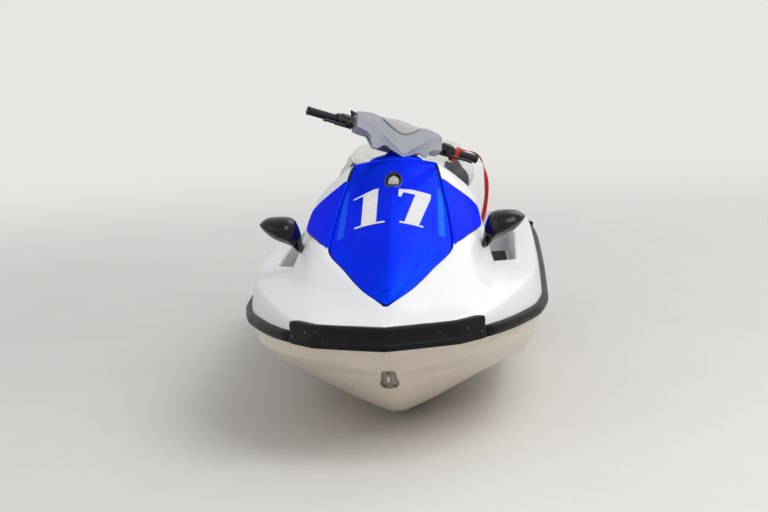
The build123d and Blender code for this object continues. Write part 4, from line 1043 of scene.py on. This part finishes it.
def make_latch():
    """The latch's cup, its rim in lighter blue as a painted highlight, the ribbed handle in it and the
    handle's lug.
    """
    cup = latch_rings(((-0.6, -3), (-0.4, 1.2), (-1.4, 2.4), (-3.6, 2.2), (-4.6, 0), (-5, -10), (-7, -17),
                       (-30, -17.5)))
    piece("latch_cup", tidy(loft(cup, wrap=True, caps=(False, True))), "hood", BLACK,
          ("hood_latch",), solid=-1.2)
    # The rim is the hood's edge round the recess; its lighter blue is a painted highlight.
    rim = latch_rings(((1.6, 0.2), (1.2, 1.3), (0.2, 1.9), (-0.8, 1.6), (-1.2, 0.4)))
    piece("latch_rim_highlight", tidy(loft(rim, wrap=True)), "hood", SKY, solid=0.8, angle=50)
    rings = []
    front, rear = LATCH_S - 24, LATCH_S + 49
    for k in range(23):
        share = k / 22
        s = front + (rear - front) * share
        half = 22 * min(1, max(0.05, 1 - max(0, (share - 0.25) / 0.8) ** 2.6)) ** 0.5
        rise = -10 + 8 * min(1, 3 * share) ** 0.6 * (1 - max(0, share - 0.7) * 1.8)
        base = hood_z(0, s)
        ring = []
        for i in range(31):
            u = -1 + 2 * i / 30
            rib = 0.8 * math.cos(u * 5 * math.pi) if 0.12 < share < 0.93 else 0
            ring.append(spot(half * u, s, base + rise - 6 * abs(u) ** 3 + rib))
        rings.append(ring + [spot(half, s, base - 17), spot(-half, s, base - 17)])
    piece("latch_handle", tidy(closed(rings)), "hood", PALE, angle=40)
    lug = [(-20, LATCH_S - 25), (20, LATCH_S - 25), (23, LATCH_S - 52), (-23, LATCH_S - 52)]
    rings = [[spot(x, s, hood_z(0, s) - z) for x, s in lug] for z in (16, 6)]
    piece("latch_lug", tidy(closed(rings)), "hood", BLACK, bevel=1.5)


def on_flank(s, t, out):
    """A place on the deck from the lip (0) out to the shoulder (1), raised off it."""
    a, b = line(LIP, s), line(SHOULDER, s)
    run = b - a
    normal = Vector((-run.y, run.x)).normalized()
    p = a + run * t + normal * (4 * 4 * t * (1 - t) + out)
    return spot(p.x, s, p.y)


def make_panels():
    """The blue panels beside the hood, which wrap over the lip, and the seals along their edges."""
    front, turn, rear, thick = 655, 1040, 1105, 5
    rings = []
    edge = []
    for s in steps(front, rear, 9, turn):
        share = value(PANEL_SHARE, 1, s)
        tapers = ease(front, 668, s) * 0.9 + 0.1
        lip = line(LIP, s)
        wrap = [spot(lip.x + x, s, lip.y + z) for x, z in ((-7.5, -9), (-8, 1.5), (-5.5, 4.6))]
        top = [on_flank(s, share * k / 12, thick * tapers) for k in range(13)]
        rings.append(wrap + top + [on_flank(s, share, -14), on_flank(s, 0, -1)])
        if s < 1000:
            edge.append(on_flank(s, share, 1.6))
    piece("side_panel_skins", tidy(mirrored(closed(rings))), "root", BLUE, ("side_panels",),
          bevel=1.2, angle=35)
    piece("side_panel_seals", tidy(mirrored(tube(edge, 0.0026, 10))), "root", RAIL)


def make_gasket():
    """The seal round the hood, thinner and lower beside the panels."""
    full, thinner = 0.0048, 0.0026
    points = []
    sizes = []
    for s in steps(176, 1232, 12):
        beside = ease(630, 680, s) * (1 - ease(1104, 1120, s))
        points.append(spot(value(LIP, 1, s) - 6 - 1.5 * beside, s, value(LIP, 2, s) - 3 - 9 * beside))
        sizes.append(full - thinner * beside)
    front = [spot(x, 174 - 4 * (1 - (x / 9) ** 2), value(LIP, 2, 172) - 1) for x in (-4, 0, 4)]
    other = [Vector((-p.x, p.y, p.z)) for p in reversed(points)]
    sizes = sizes[::-1] + [full] * len(front) + sizes
    piece("hood_gasket", tidy(tube(other + front + points, sizes, 12)), "root", RAIL)


make_hood()
make_marks()
make_latch()
make_panels()
make_gasket()


# Mirrors
# The port mirror's outline at its widest, as x and z from the foot round by the top to the tip.
SHIELD = [(338, 662), (338.5, 664), (341, 700), (350, 748), (364, 783), (374, 795), (392, 803),
          (440, 805), (470, 802), (486, 795), (503, 780), (505, 776), (500, 767), (488, 751),
          (462, 727), (430, 710), (402, 699), (374, 685), (354, 664), (352, 662)]


def make_mirrors():
    """Pointed shields that grow out of the deck on a broad foot."""
    outline = smooth_ring([Vector(p) for p in SHIELD], 96)
    apex = Vector((412, 752))
    seam_from, seam_to = Vector((350, 694)), Vector((505, 772))
    along = (seam_to - seam_from).normalized()
    front, deep, step_back = 746, 80, 9

    def flat_rings(rows):
        """Rings square to the craft, by their share of the outline and their s."""
        return [[spot(q.x, s, q.y) for q in (apex.lerp(p, k) for p in outline)] for k, s in rows]

    rings = []
    for k in (0.02, 0.1, 0.2, 0.3, 0.4, 0.5, 0.6, 0.7, 0.78, 0.85, 0.91, 0.95, 0.98, 1.0):
        ring = []
        for p in outline:
            q = apex.lerp(p, k)
            under = along.x * (seam_from.y - q.y) - along.y * (seam_from.x - q.x)
            s = front + deep * (1 - math.sqrt(max(0, 1 - k * k)))
            s += step_back * ease(-1, 4, under) * (1 - k ** 6)
            ring.append(spot(q.x, s, q.y))
        rings.append(ring)
    shell = closed(rings + flat_rings(((0.99, 833), (0.94, 835), (0.9, 832), (0.88, 826))))
    foot = closed([[spot(x + thick * math.sin(a), s + long * math.cos(a), z + 0.4 * thick * math.sin(a))
                    for a in angles(32)]
                   for x, z, s, long, thick in ((334, 655, 792, 44, 13), (341, 676, 794, 42, 13),
                                                (348, 696, 797, 38, 13), (357, 714, 802, 30, 12))])
    piece("mirror_shells", tidy(mirrored(merged(shell, foot))), "root", GLOSS, ("mirrors",),
          angle=30)
    glass = closed(flat_rings(((0.9, 828), (0.89, 829.5), (0.5, 829.5), (0.03, 829.5))))
    piece("mirror_glass", tidy(mirrored(glass)), "root", MIRROR)


make_mirrors()


# Handlebar group, drawn in the column's frame with the bar straight
TILT = math.radians(40)
COLUMN = Matrix(((1, 0, 0, 0), (0, math.cos(TILT), math.sin(TILT), -0.21),
                 (0, -math.sin(TILT), math.cos(TILT), 1.035), (0, 0, 0, 1)))
BAR_TURN = math.radians(30.8)
STEERED = COLUMN @ Matrix.Rotation(BAR_TURN, 4, "Z")
BAR_BEND, BAR_REACH, BAR_SWEEP, BAR_RISE = 150, 384, 25, 20
GRIP_LENGTH = 122


def bar_point(side, x):
    """A place on the bar's middle line, x out from its middle on a side."""
    t = (x - BAR_BEND) / (BAR_REACH - BAR_BEND)
    return Vector((side * x, BAR_SWEEP * t, BAR_RISE * t)) / 1000


def bar_axes(start, end):
    """Along the bar, across it and over it."""
    out = (end - start).normalized()
    across = out.cross(Vector((0, 0, 1))).normalized()
    return out, across, across.cross(out)


# The cover's half section by x: lower edge, crease, pad edge, top and back, each as y and z.
COVER = [
    (0, (-63, -137), (-66, -127), (-57, -27), (-38, 50), (26, 52)),
    (12, (-60, -130), (-65, -117), (-56, -25), (-37, 51), (26, 53)),
    (30, (-55, -118), (-63, -100), (-54, -17), (-36, 51), (26, 53)),
    (50, (-48, -104), (-60, -80), (-52, -4), (-35, 50), (26, 52)),
    (64, (-43, -90), (-58, -66), (-50, 9), (-34, 47), (26, 50)),
    (76, (-40, -90), (-56, -54), (-48, 20), (-34, 45), (26, 48)),
    (86, (-37, -97), (-54, -45), (-46, 31), (-34, 43), (26, 46)),
    (96, (-36, -106), (-51, -35), (-43, 37), (-33, 44), (26, 46)),
    (106, (-35, -111), (-49, -24), (-42, 41), (-32, 46), (26, 47)),
    (116, (-35, -112), (-47, -13), (-41, 44), (-31, 49), (26, 48)),
    (124, (-36, -106), (-46, -6), (-40, 45), (-30, 50), (26, 48)),
    (129, (-37, -88), (-45, -1), (-39, 45), (-29, 50), (26, 48)),
    (133, (-38, -58), (-44, 5), (-38, 45), (-28, 51), (26, 47)),
    (150, (-39, -45), (-43, 12), (-36, 44), (-26, 50), (26, 46)),
    (172, (-38, -40), (-42, 20), (-34, 41), (-24, 47), (25, 44)),
    (188, (-37, -36), (-41, 26), (-32, 38), (-22, 43), (24, 42)),
    (191, (-34, -33), (-38, 24), (-30, 35), (-20, 40), (22, 39))]


def make_cover():
    """The cover over the bar's middle; its skirt hangs lower on the starboard side."""
    inner_rear, inner_floor = -76, -40

    def ring(x, low, crease, pad, top, back):
        """The cover's section at x."""
        rear = max(low[1], inner_rear + 1.6 * max(0, abs(x) - 96)) + 4
        inside = max(low[1], inner_floor)
        corners = [Vector((27, rear)), Vector((20, rear)), Vector((16, inside + 4)), Vector((-6, inside)),
                   Vector((low[0] + 8, low[1] + 3)), Vector(low), Vector(crease), Vector(pad),
                   Vector(top), Vector(back)]
        shape = soften(corners, [0, 2, 4, 4, 2, 2, 2, 3, 12, 0], [0, 0, 0, 0, 0, 2, -1, -4, -3],
                       [1, 3, 2, 3, 1, 5, 4, 5, 4])
        return [Vector((x, p.x, p.y)) / 1000 for p in shape]

    def half(side, stretch):
        """One side of the cover; the skirt hangs lower by the stretch."""
        rows = []
        for x, low, *rest in COVER:
            more = stretch * ease(70, 96, x) * (1 - ease(126, 134, x))
            rows.append(ring(side * x, (low[0], low[1] - more), *rest))
        return rows

    port, starboard = half(1, -24), half(-1, 2)
    mesh = tidy(closed(starboard[:0:-1] + port))
    piece("bar_cover", moved(mesh, STEERED), "handlebar", GREY, ("handlebar_cover",), angle=22)


def make_pad():
    """The smooth pad on the cover's top, by the height of its lower edge at each x."""
    half = [(0, -24), (12, -22), (30, -14), (50, 0), (68, 16), (84, 30)]
    reach = half[-1][0]
    rings = []
    for x, low in [(-x, z) for x, z in reversed(half[1:])] + half:
        row = []
        side = abs(x) / reach
        top = 50 - 8 * side ** 2
        for k in range(9):
            t = k / 8
            depth = -57 + 8 * side + 19 * t ** 1.6
            swell = 4.5 * math.sin(math.pi * (0.08 + 0.84 * t)) * (1 - 0.5 * side ** 4)
            row.append(Vector((x, depth - swell, low + (top - low) * t)) / 1000)
        rings.append(row)
    mesh = tidy(moved(loft(rings), STEERED), outward=False)
    piece("cover_pad", mesh, "handlebar", PAD, solid=4, smooth=2, angle=60)


def grip_radius(d, length):
    """A grip's radius by the distance from its inner end: flange, ribs and rounded end."""
    if d < 5:
        return 20.5 - 3 * (1 - min(1, d / 2.2))
    if d > length - 6:
        return 16.9 + 1.4 * math.sin(math.pi * (length - d) / 12)
    return 15.6 + 1.3 * (0.5 + 0.5 * math.cos(2 * math.pi * d / 6.1)) ** 0.7


def make_grips():
    """The ribbed sleeves at the bar's ends."""
    sleeves = []
    count = 74
    for side in (1, -1):
        start, end = bar_point(side, BAR_REACH - GRIP_LENGTH), bar_point(side, BAR_REACH)
        along = end - start
        length = along.length * 1000
        _, across, over = bar_axes(start, end)
        rings = []
        for k in range(count + 1):
            t = k / count
            r = grip_radius(t * length, length) * (0.9 if k in (0, count) else 1)
            rings.append([start + along * t + (across * math.cos(a) + over * math.sin(a)) * (r / 1000)
                          for a in angles(28)])
        sleeves.append(closed(rings))
    mesh = moved(tidy(merged(*sleeves)), STEERED)
    piece("grip_sleeves", mesh, "handlebar", GRIP, ("grips",), angle=50)


def rounded_block(place, half_u, half_v, lifts, square):
    """A low block with rounded corners, by its half sizes and its height and inset at each ring."""
    rings = []
    for lift, inset in lifts:
        u, v = half_u - inset, half_v - inset
        rings.append([Vector((u * c, v * d, lift)) / 1000
                      for c, d in (squared(a, square) for a in angles(40))])
    return moved(closed(rings), place)


def housing_axes(side):
    """Along the bar, across it and up towards the rider, on a housing."""
    toward = STEERED.to_3x3().inverted() @ Vector((0, -0.5, 0.86))
    out = (bar_point(side, 260) - bar_point(side, 200)).normalized()
    face = (toward - out * toward.dot(out)).normalized()
    return out, face.cross(out), face


def on_housing(side, x, off, lift):
    """The frame of something that lies on a housing's face."""
    out, across, face = housing_axes(side)
    centre = bar_point(side, x) + across * (off / 1000) + face * (lift / 1000)
    return Matrix.Translation(centre) @ Matrix((out, across, face)).transposed().to_4x4()


def collar(side, x, half, reach, inner=23.8):
    """A band round a housing, by its half width and radius."""
    out, across, face = housing_axes(side)
    centre = bar_point(side, x)
    return closed([[centre + out * (w / 1000) + (face * math.cos(a) + across * math.sin(a)) * (r / 1000)
                    for a in angles(48)]
                   for w, r in ((-half, inner), (-0.7 * half, reach), (0.7 * half, reach), (half, inner))])


def make_housings():
    """Collars, switch blocks, screws and the start button on the two housings beside the grips."""
    trims = []
    block_x, block_top = 229, 28
    for side in (1, -1):
        for x, half, reach in ((199, 3.5, 25.4), (226, 1.2, 24.7), (258, 2.6, 25.4)):
            trims.append(collar(side, x, half, reach))
        lifts = ((12, 0), (25.5, 0), (27.2, 0.8), (block_top, 2.6))
        trims.append(rounded_block(on_housing(side, block_x, 0, 0), 22, 12.5, lifts, 0.45))
        for x in (block_x - 14, block_x + 14):
            head = on_housing(side, x, 0, block_top).translation
            trims.append(screw(head, housing_axes(side)[2], 0.0026))
    lifts = ((-1, 0), (1.6, 0), (2.6, 0.8), (3, 2.2))
    button = rounded_block(on_housing(1, block_x, 3, block_top), 7, 5.5, lifts, 0.8)
    for name, mesh, material in (("housing_trim", merged(*trims), BLACK), ("start_button", button, TEAL)):
        piece(name, moved(tidy(mesh), STEERED), "handlebar", material, angle=35)


make_cover()
make_pad()
make_grips()
make_housings()


def make_band():
    """The lanyard's band round the grip, which hangs slack below it."""
    radius, thick = 0.0176, 0.0018
    a, b = bar_point(1, 266), bar_point(1, 288)
    out, across, over = bar_axes(a, b)
    down = STEERED.to_3x3().inverted() @ Vector((0, 0, -1))
    middle, half = (a + b) / 2, (b - a).length / 2
    section = ((-1, 0), (-0.9, thick), (-0.4, thick * 1.15), (0, thick), (0.4, thick * 1.15),
               (0.9, thick), (1, 0), (0, -0.0004))
    rings = []
    for angle in angles(64):
        spoke = across * math.cos(angle) + over * math.sin(angle)
        slack = max(0, spoke.dot(down)) ** 1.6
        r = radius + 0.017 * slack + 0.0007 * math.sin(angle * 3 + 1)
        lean = out * (-0.006 * slack)
        rings.append([middle + lean + out * (half * u) + spoke * (r + h) for u, h in section])
    band = tidy(loft(rings + rings[:1], wrap=True))
    piece("lanyard_band", moved(band, STEERED), "handlebar", RED, ("lanyard_loop",), angle=50)


def walk_route():
    """The points of the smooth curve that the lanyard's route draws."""
    curve = bpy.data.curves.new("route", "CURVE")
    curve.dimensions = "3D"
    route = curve.splines.new("NURBS")
    route.points.add(len(LANYARD) - 1)
    for point, (x, y, z) in zip(route.points, LANYARD):
        point.co = (x / 1000, y / 1000, z / 1000, 1)
    route.order_u = 3
    route.use_endpoint_u = True
    route.resolution_u = 12
    guide = bpy.data.objects.new("route", curve)
    SCENE.collection.objects.link(guide)
    bpy.context.view_layer.update()
    walked = bpy.data.meshes.new_from_object(guide.evaluated_get(bpy.context.evaluated_depsgraph_get()))
    scrap(guide)
    return [v.co.copy() for v in walked.vertices]


def make_key():
    """The clip at the lanyard's far end, within the solid's box."""
    low, high = (Vector(corner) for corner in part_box("lanyard_clip"))
    middle, size = (low + high) / 2, high - low
    rings = []
    for k in range(15):
        t = k / 14
        grow = 0.62 + 0.38 * math.sin(math.pi * min(1, 0.12 + 0.8 * t))
        rings.append([Vector((middle.x + 0.5 * size.x * grow * c, middle.y + 0.5 * size.y * grow * d,
                              low.z + size.z * t))
                      for c, d in (squared(a, 0.6) for a in angles(24))])
    return piece("lanyard_key", tidy(closed(rings)), "handlebar", BLACK, ("lanyard_clip",),
                 angle=50)


def make_lanyard():
    """Flat webbing along the route, which twists as it hangs."""
    width, thick = 0.0176, 0.0022
    section = ((-1, -0.6), (-0.5, -1), (0.5, -1), (1, -0.6), (1, 0.6), (0.5, 1), (-0.5, 1), (-1, 0.6))
    path = walk_route()
    gone = distances(path)
    rings = []
    for i, p in enumerate(path):
        ahead = heading(path, i)
        t = gone[i] / gone[-1]
        turn = 0.5 + 1.4 * math.sin(2.2 * t * math.pi) + 0.6 * t
        side = ahead.cross(Vector((0, 1, 0))).normalized()
        up = side.cross(ahead).normalized()
        flat = side * math.cos(turn) + up * math.sin(turn)
        edge = ahead.cross(flat).normalized()
        rings.append([p + flat * (width / 2 * u) + edge * (thick / 2 * v) for u, v in section])
    strap = piece("lanyard_strap", tidy(closed(rings), 1e-7), "handlebar", RED, ("lanyard",),
                  angle=50)
    make_key()


make_band()
make_lanyard()


# Seats
def seat_half(s):
    """Half the seat's section, from the middle of its base round to the middle of its top."""
    base = Vector((value(SEAT_BASE, 1, s), value(LIP, 2, s) + 0.5))
    flare, shoulder, crown = line(SEAT_FLARE, s), line(SEAT_SHOULDER, s), line(SEAT_CROWN, s)
    middle = Vector((shoulder.x * 0.45, shoulder.y + (crown.y - shoulder.y) * 0.86))
    corners = [Vector((0, base.y)), base, flare, shoulder, middle, Vector((0, crown.y))]
    return soften(corners, [0, 8, 50, 34, 60, 0], [0, -2, -4, -3, 0], [3, 6, 6, 6, 4])


def make_piping(cushion, side, start, end, seam_s):
    """The welt along a cushion's shoulder, and the rear one's seam down its side."""
    points = []
    for s in steps(start + 10, end - 10, 14):
        p = line(SEAT_SHOULDER, s)
        points.append(spot(side * (p.x + 2.5), s, p.y - 11))
    welts = [tube(points, 0.0045, 10)]
    if seam_s:
        top = value(SEAT_SHOULDER, 2, seam_s) - 8
        low = [p for p in seat_half(seam_s) if p.x > 150 and p.y < top]
        welts.append(tube([spot(side * (p.x + 1), seam_s, p.y) for p in low], 0.0045, 10))
    name = f"{cushion}_piping_{'port' if side > 0 else 'starboard'}"
    piece(name, tidy(merged(*welts)), "root", PIPING)


def make_seats():
    """The cushions, which pull in at their ends, with dark sides up to a place and white ones aft of it."""
    for name, cad, start, end, dark_end in (
            ("seat_cushion_front", "seat_front", 1556, 2079, 2079),
            ("seat_cushion_rear", "seat_rear", 2085, SEAT_END - 1, 2112)):
        rings = []
        for s in steps(start, end, 12, start + 4, start + 9, start + 16, end - 4, end - 9, end - 16):
            pull = 1 - 0.07 * (1 - min(1, min(s - start, end - s) / 22)) ** 2.4
            half = seat_half(s)
            floor = half[0].y
            rings.append(ring_at(s, [Vector((p.x * pull, floor + (p.y - floor) * pull)) for p in half]))
        cushion = piece(name, tidy(closed(rings)), "root", [SEAT, SEAT_SIDE], (cad,), angle=50)
        for face in cushion.data.polygons:
            s = face.center.y * 1000 + LENGTH / 2
            if s < dark_end and face.center.z * 1000 < value(SEAT_SHOULDER, 2, s) - 14:
                face.material_index = 1
        for side in (-1, 1):
            make_piping(name, side, start, end, dark_end if dark_end < end else None)


def make_fairing():
    """The blue cowl behind the hood, which rises to the steering column."""
    count = 72

    def oval(half_x, middle, half_s):
        """A rounded rectangle of x and s."""
        for c, d in (squared(a, 0.7) for a in angles(count)):
            yield half_x * c, middle + half_s * d

    def circle(radius, height):
        """A circle round the steering column."""
        return [COLUMN @ (Vector((radius * math.cos(a), radius * math.sin(a), height)) / 1000)
                for a in angles(count)]

    foot = [spot(x, s, value(LIP, 2, s) + 4) for x, s in oval(114, 1308, 60)]
    brow = [spot(x, s, 970 - 0.00185 * x * x) for x, s in oval(96, 1324, 34)]
    neck = circle(34, -88)
    rings = [[p - Vector((0, 0, 0.008)) for p in foot]]
    for k in range(11):
        t = k / 10
        rings.append([Vector((*p.lerp(q, t ** 1.25).xy, p.z + (q.z - p.z) * math.sin(math.pi / 2 * t)))
                      for p, q in zip(foot, brow)])
    for t in (0.35, 0.7, 1):
        rings.append([Vector((*p.lerp(q, t).xy, p.z + (q.z - p.z) * t ** 1.6)) for p, q in zip(brow, neck)])
    dome = loft(rings + [circle(29, -89)], wrap=True, caps=(False, True))
    front, rear, crown = 1231, 1333, 20
    plate = []
    for s in steps(front, rear, 6, front + 1, rear - 1):
        half = value(LIP, 1, s) - 1
        z = value(LIP, 2, s)
        rise = 6 if front < s < rear else 3
        shape = [(0, z + 0.3), (half, z + 0.3), (half, z + rise - 2), (half - 2, z + rise)]
        shape += [(half * t, z + rise + crown * (1 - t * t)) for t in (0.9, 0.7, 0.5, 0.3, 0.15, 0)]
        plate.append(ring_at(s, shape))
    piece("column_cowl", tidy(merged(dome, closed(plate))), "root", BLUE, ("column_fairing",),
          angle=40)


def make_mats():
    """The footwells' mats, ribbed along the craft, and the platform's, ribbed across it."""
    count, front, gap, ribs = 4, 1240, 26, 17
    long = (WELL_REAR - 30 - front - (count - 1) * gap) / count
    meshes = []
    for k in range(count):
        start = front + k * (long + gap)
        rings = []
        for s in steps(start, start + long, 12):
            inner, outer = value(CHANNEL, 1, s) + 4, value(COAMING, 1, s) - 32
            row = [(inner, 0.4)]
            for r in range(ribs):
                a = inner + (outer - inner) * (r + 0.12) / ribs
                b = inner + (outer - inner) * (r + 0.88) / ribs
                row += [(a, 4.2), (a + 1.2, 7), (b - 1.2, 7), (b, 4.2)]
            rings.append([spot(x, s, WELL_FLOOR + z) for x, z in row + [(outer, 0.4)]])
        meshes.append(closed(rings))
    piece("footwell_mat_ribs", tidy(mirrored(merged(*meshes))), "root", MAT, ("footwell_mats",),
          angle=30)
    rings = []
    for s in steps(AFT_DECK + 25, STERN - 25, 3.0):
        wide, z = value(CHANNEL, 1, s) + 60, value(CHANNEL, 2, s)
        top = 4.5 + 2.4 * (0.5 + 0.5 * math.cos(2 * math.pi * s / 18)) ** 0.5
        rings.append([spot(x, s, z + h) for x, h in ((-wide, 0.3), (-wide + 2, top), (0, top),
                                                     (wide - 2, top), (wide, 0.3))])
    piece("deck_mat_ribs", tidy(closed(rings)), "root", MAT, ("deck_mat",), angle=40)


def make_lid():
    """The glovebox's lid, with its hinge's leaf and barrel."""
    front, rear = 1422, 1518
    rings = []
    for s in steps(front, rear, 6, front + 2, rear - 2):
        seat = value(LIP, 2, s) + 0.5
        half, rise = (76, 12) if front + 1 < s < rear - 1 else (74, 9.5)
        corners = [Vector((0, seat)), Vector((half, seat)), Vector((half, seat + rise * 0.7)),
                   Vector((half - 14, seat + rise)), Vector((0, seat + rise))]
        rings.append(ring_at(s, soften(corners, [0, 1, 3, 6, 0], runs=[1, 1, 2, 6])))
    hinge_s, hinge_z = 1524, 0.905
    barrel = tube([Vector((x / 1000, at(hinge_s), hinge_z)) for x in (-20, -10, 0, 10, 20)], 0.005, 20)
    leaf = box((-0.02, at(hinge_s - 10), hinge_z - 0.004), (0.02, at(hinge_s), hinge_z + 0.004))
    piece("glovebox_cover", tidy(merged(closed(rings), barrel, leaf)), "glovebox_lid", DECK_WHITE,
          ("glovebox_lid",), angle=30)


def make_plugs():
    """The two drain plugs in the transom."""
    places = (Vector((side * 0.235, at(TRANSOM) + 0.002, 0.13)) for side in (-1, 1))
    discs = [screw(place, Vector((0, 1, 0)), 0.017) for place in places]
    piece("drain_plugs", tidy(merged(*discs)), "root", BLACK, angle=30)


make_seats()
make_fairing()
make_mats()
make_lid()
make_plugs()

# The solids that stay as they are
for material, names in (
        (STEEL, ("hood_hinge", "glovebox_hinge", "bow_eye", "stern_eyes", "step_brackets", "boarding_step",
                 "handlebar")),
        (BLACK, ("storage_bin", "grab_handle", "glovebox", "sponsons", "switch_housing",
                 "throttle_housing", "reverse_lever", "throttle_lever")),
        (CAST, ("jet_pump", "gate_brackets", "ride_plate", "intake_grate", "steering_nozzle",
                "reverse_gate")),
        (BUMPER, ("stern_bumper",)), (IRON, ("engine",)), (POLISHED, ("impeller",))):
    for name in names:
        dress(name, material)
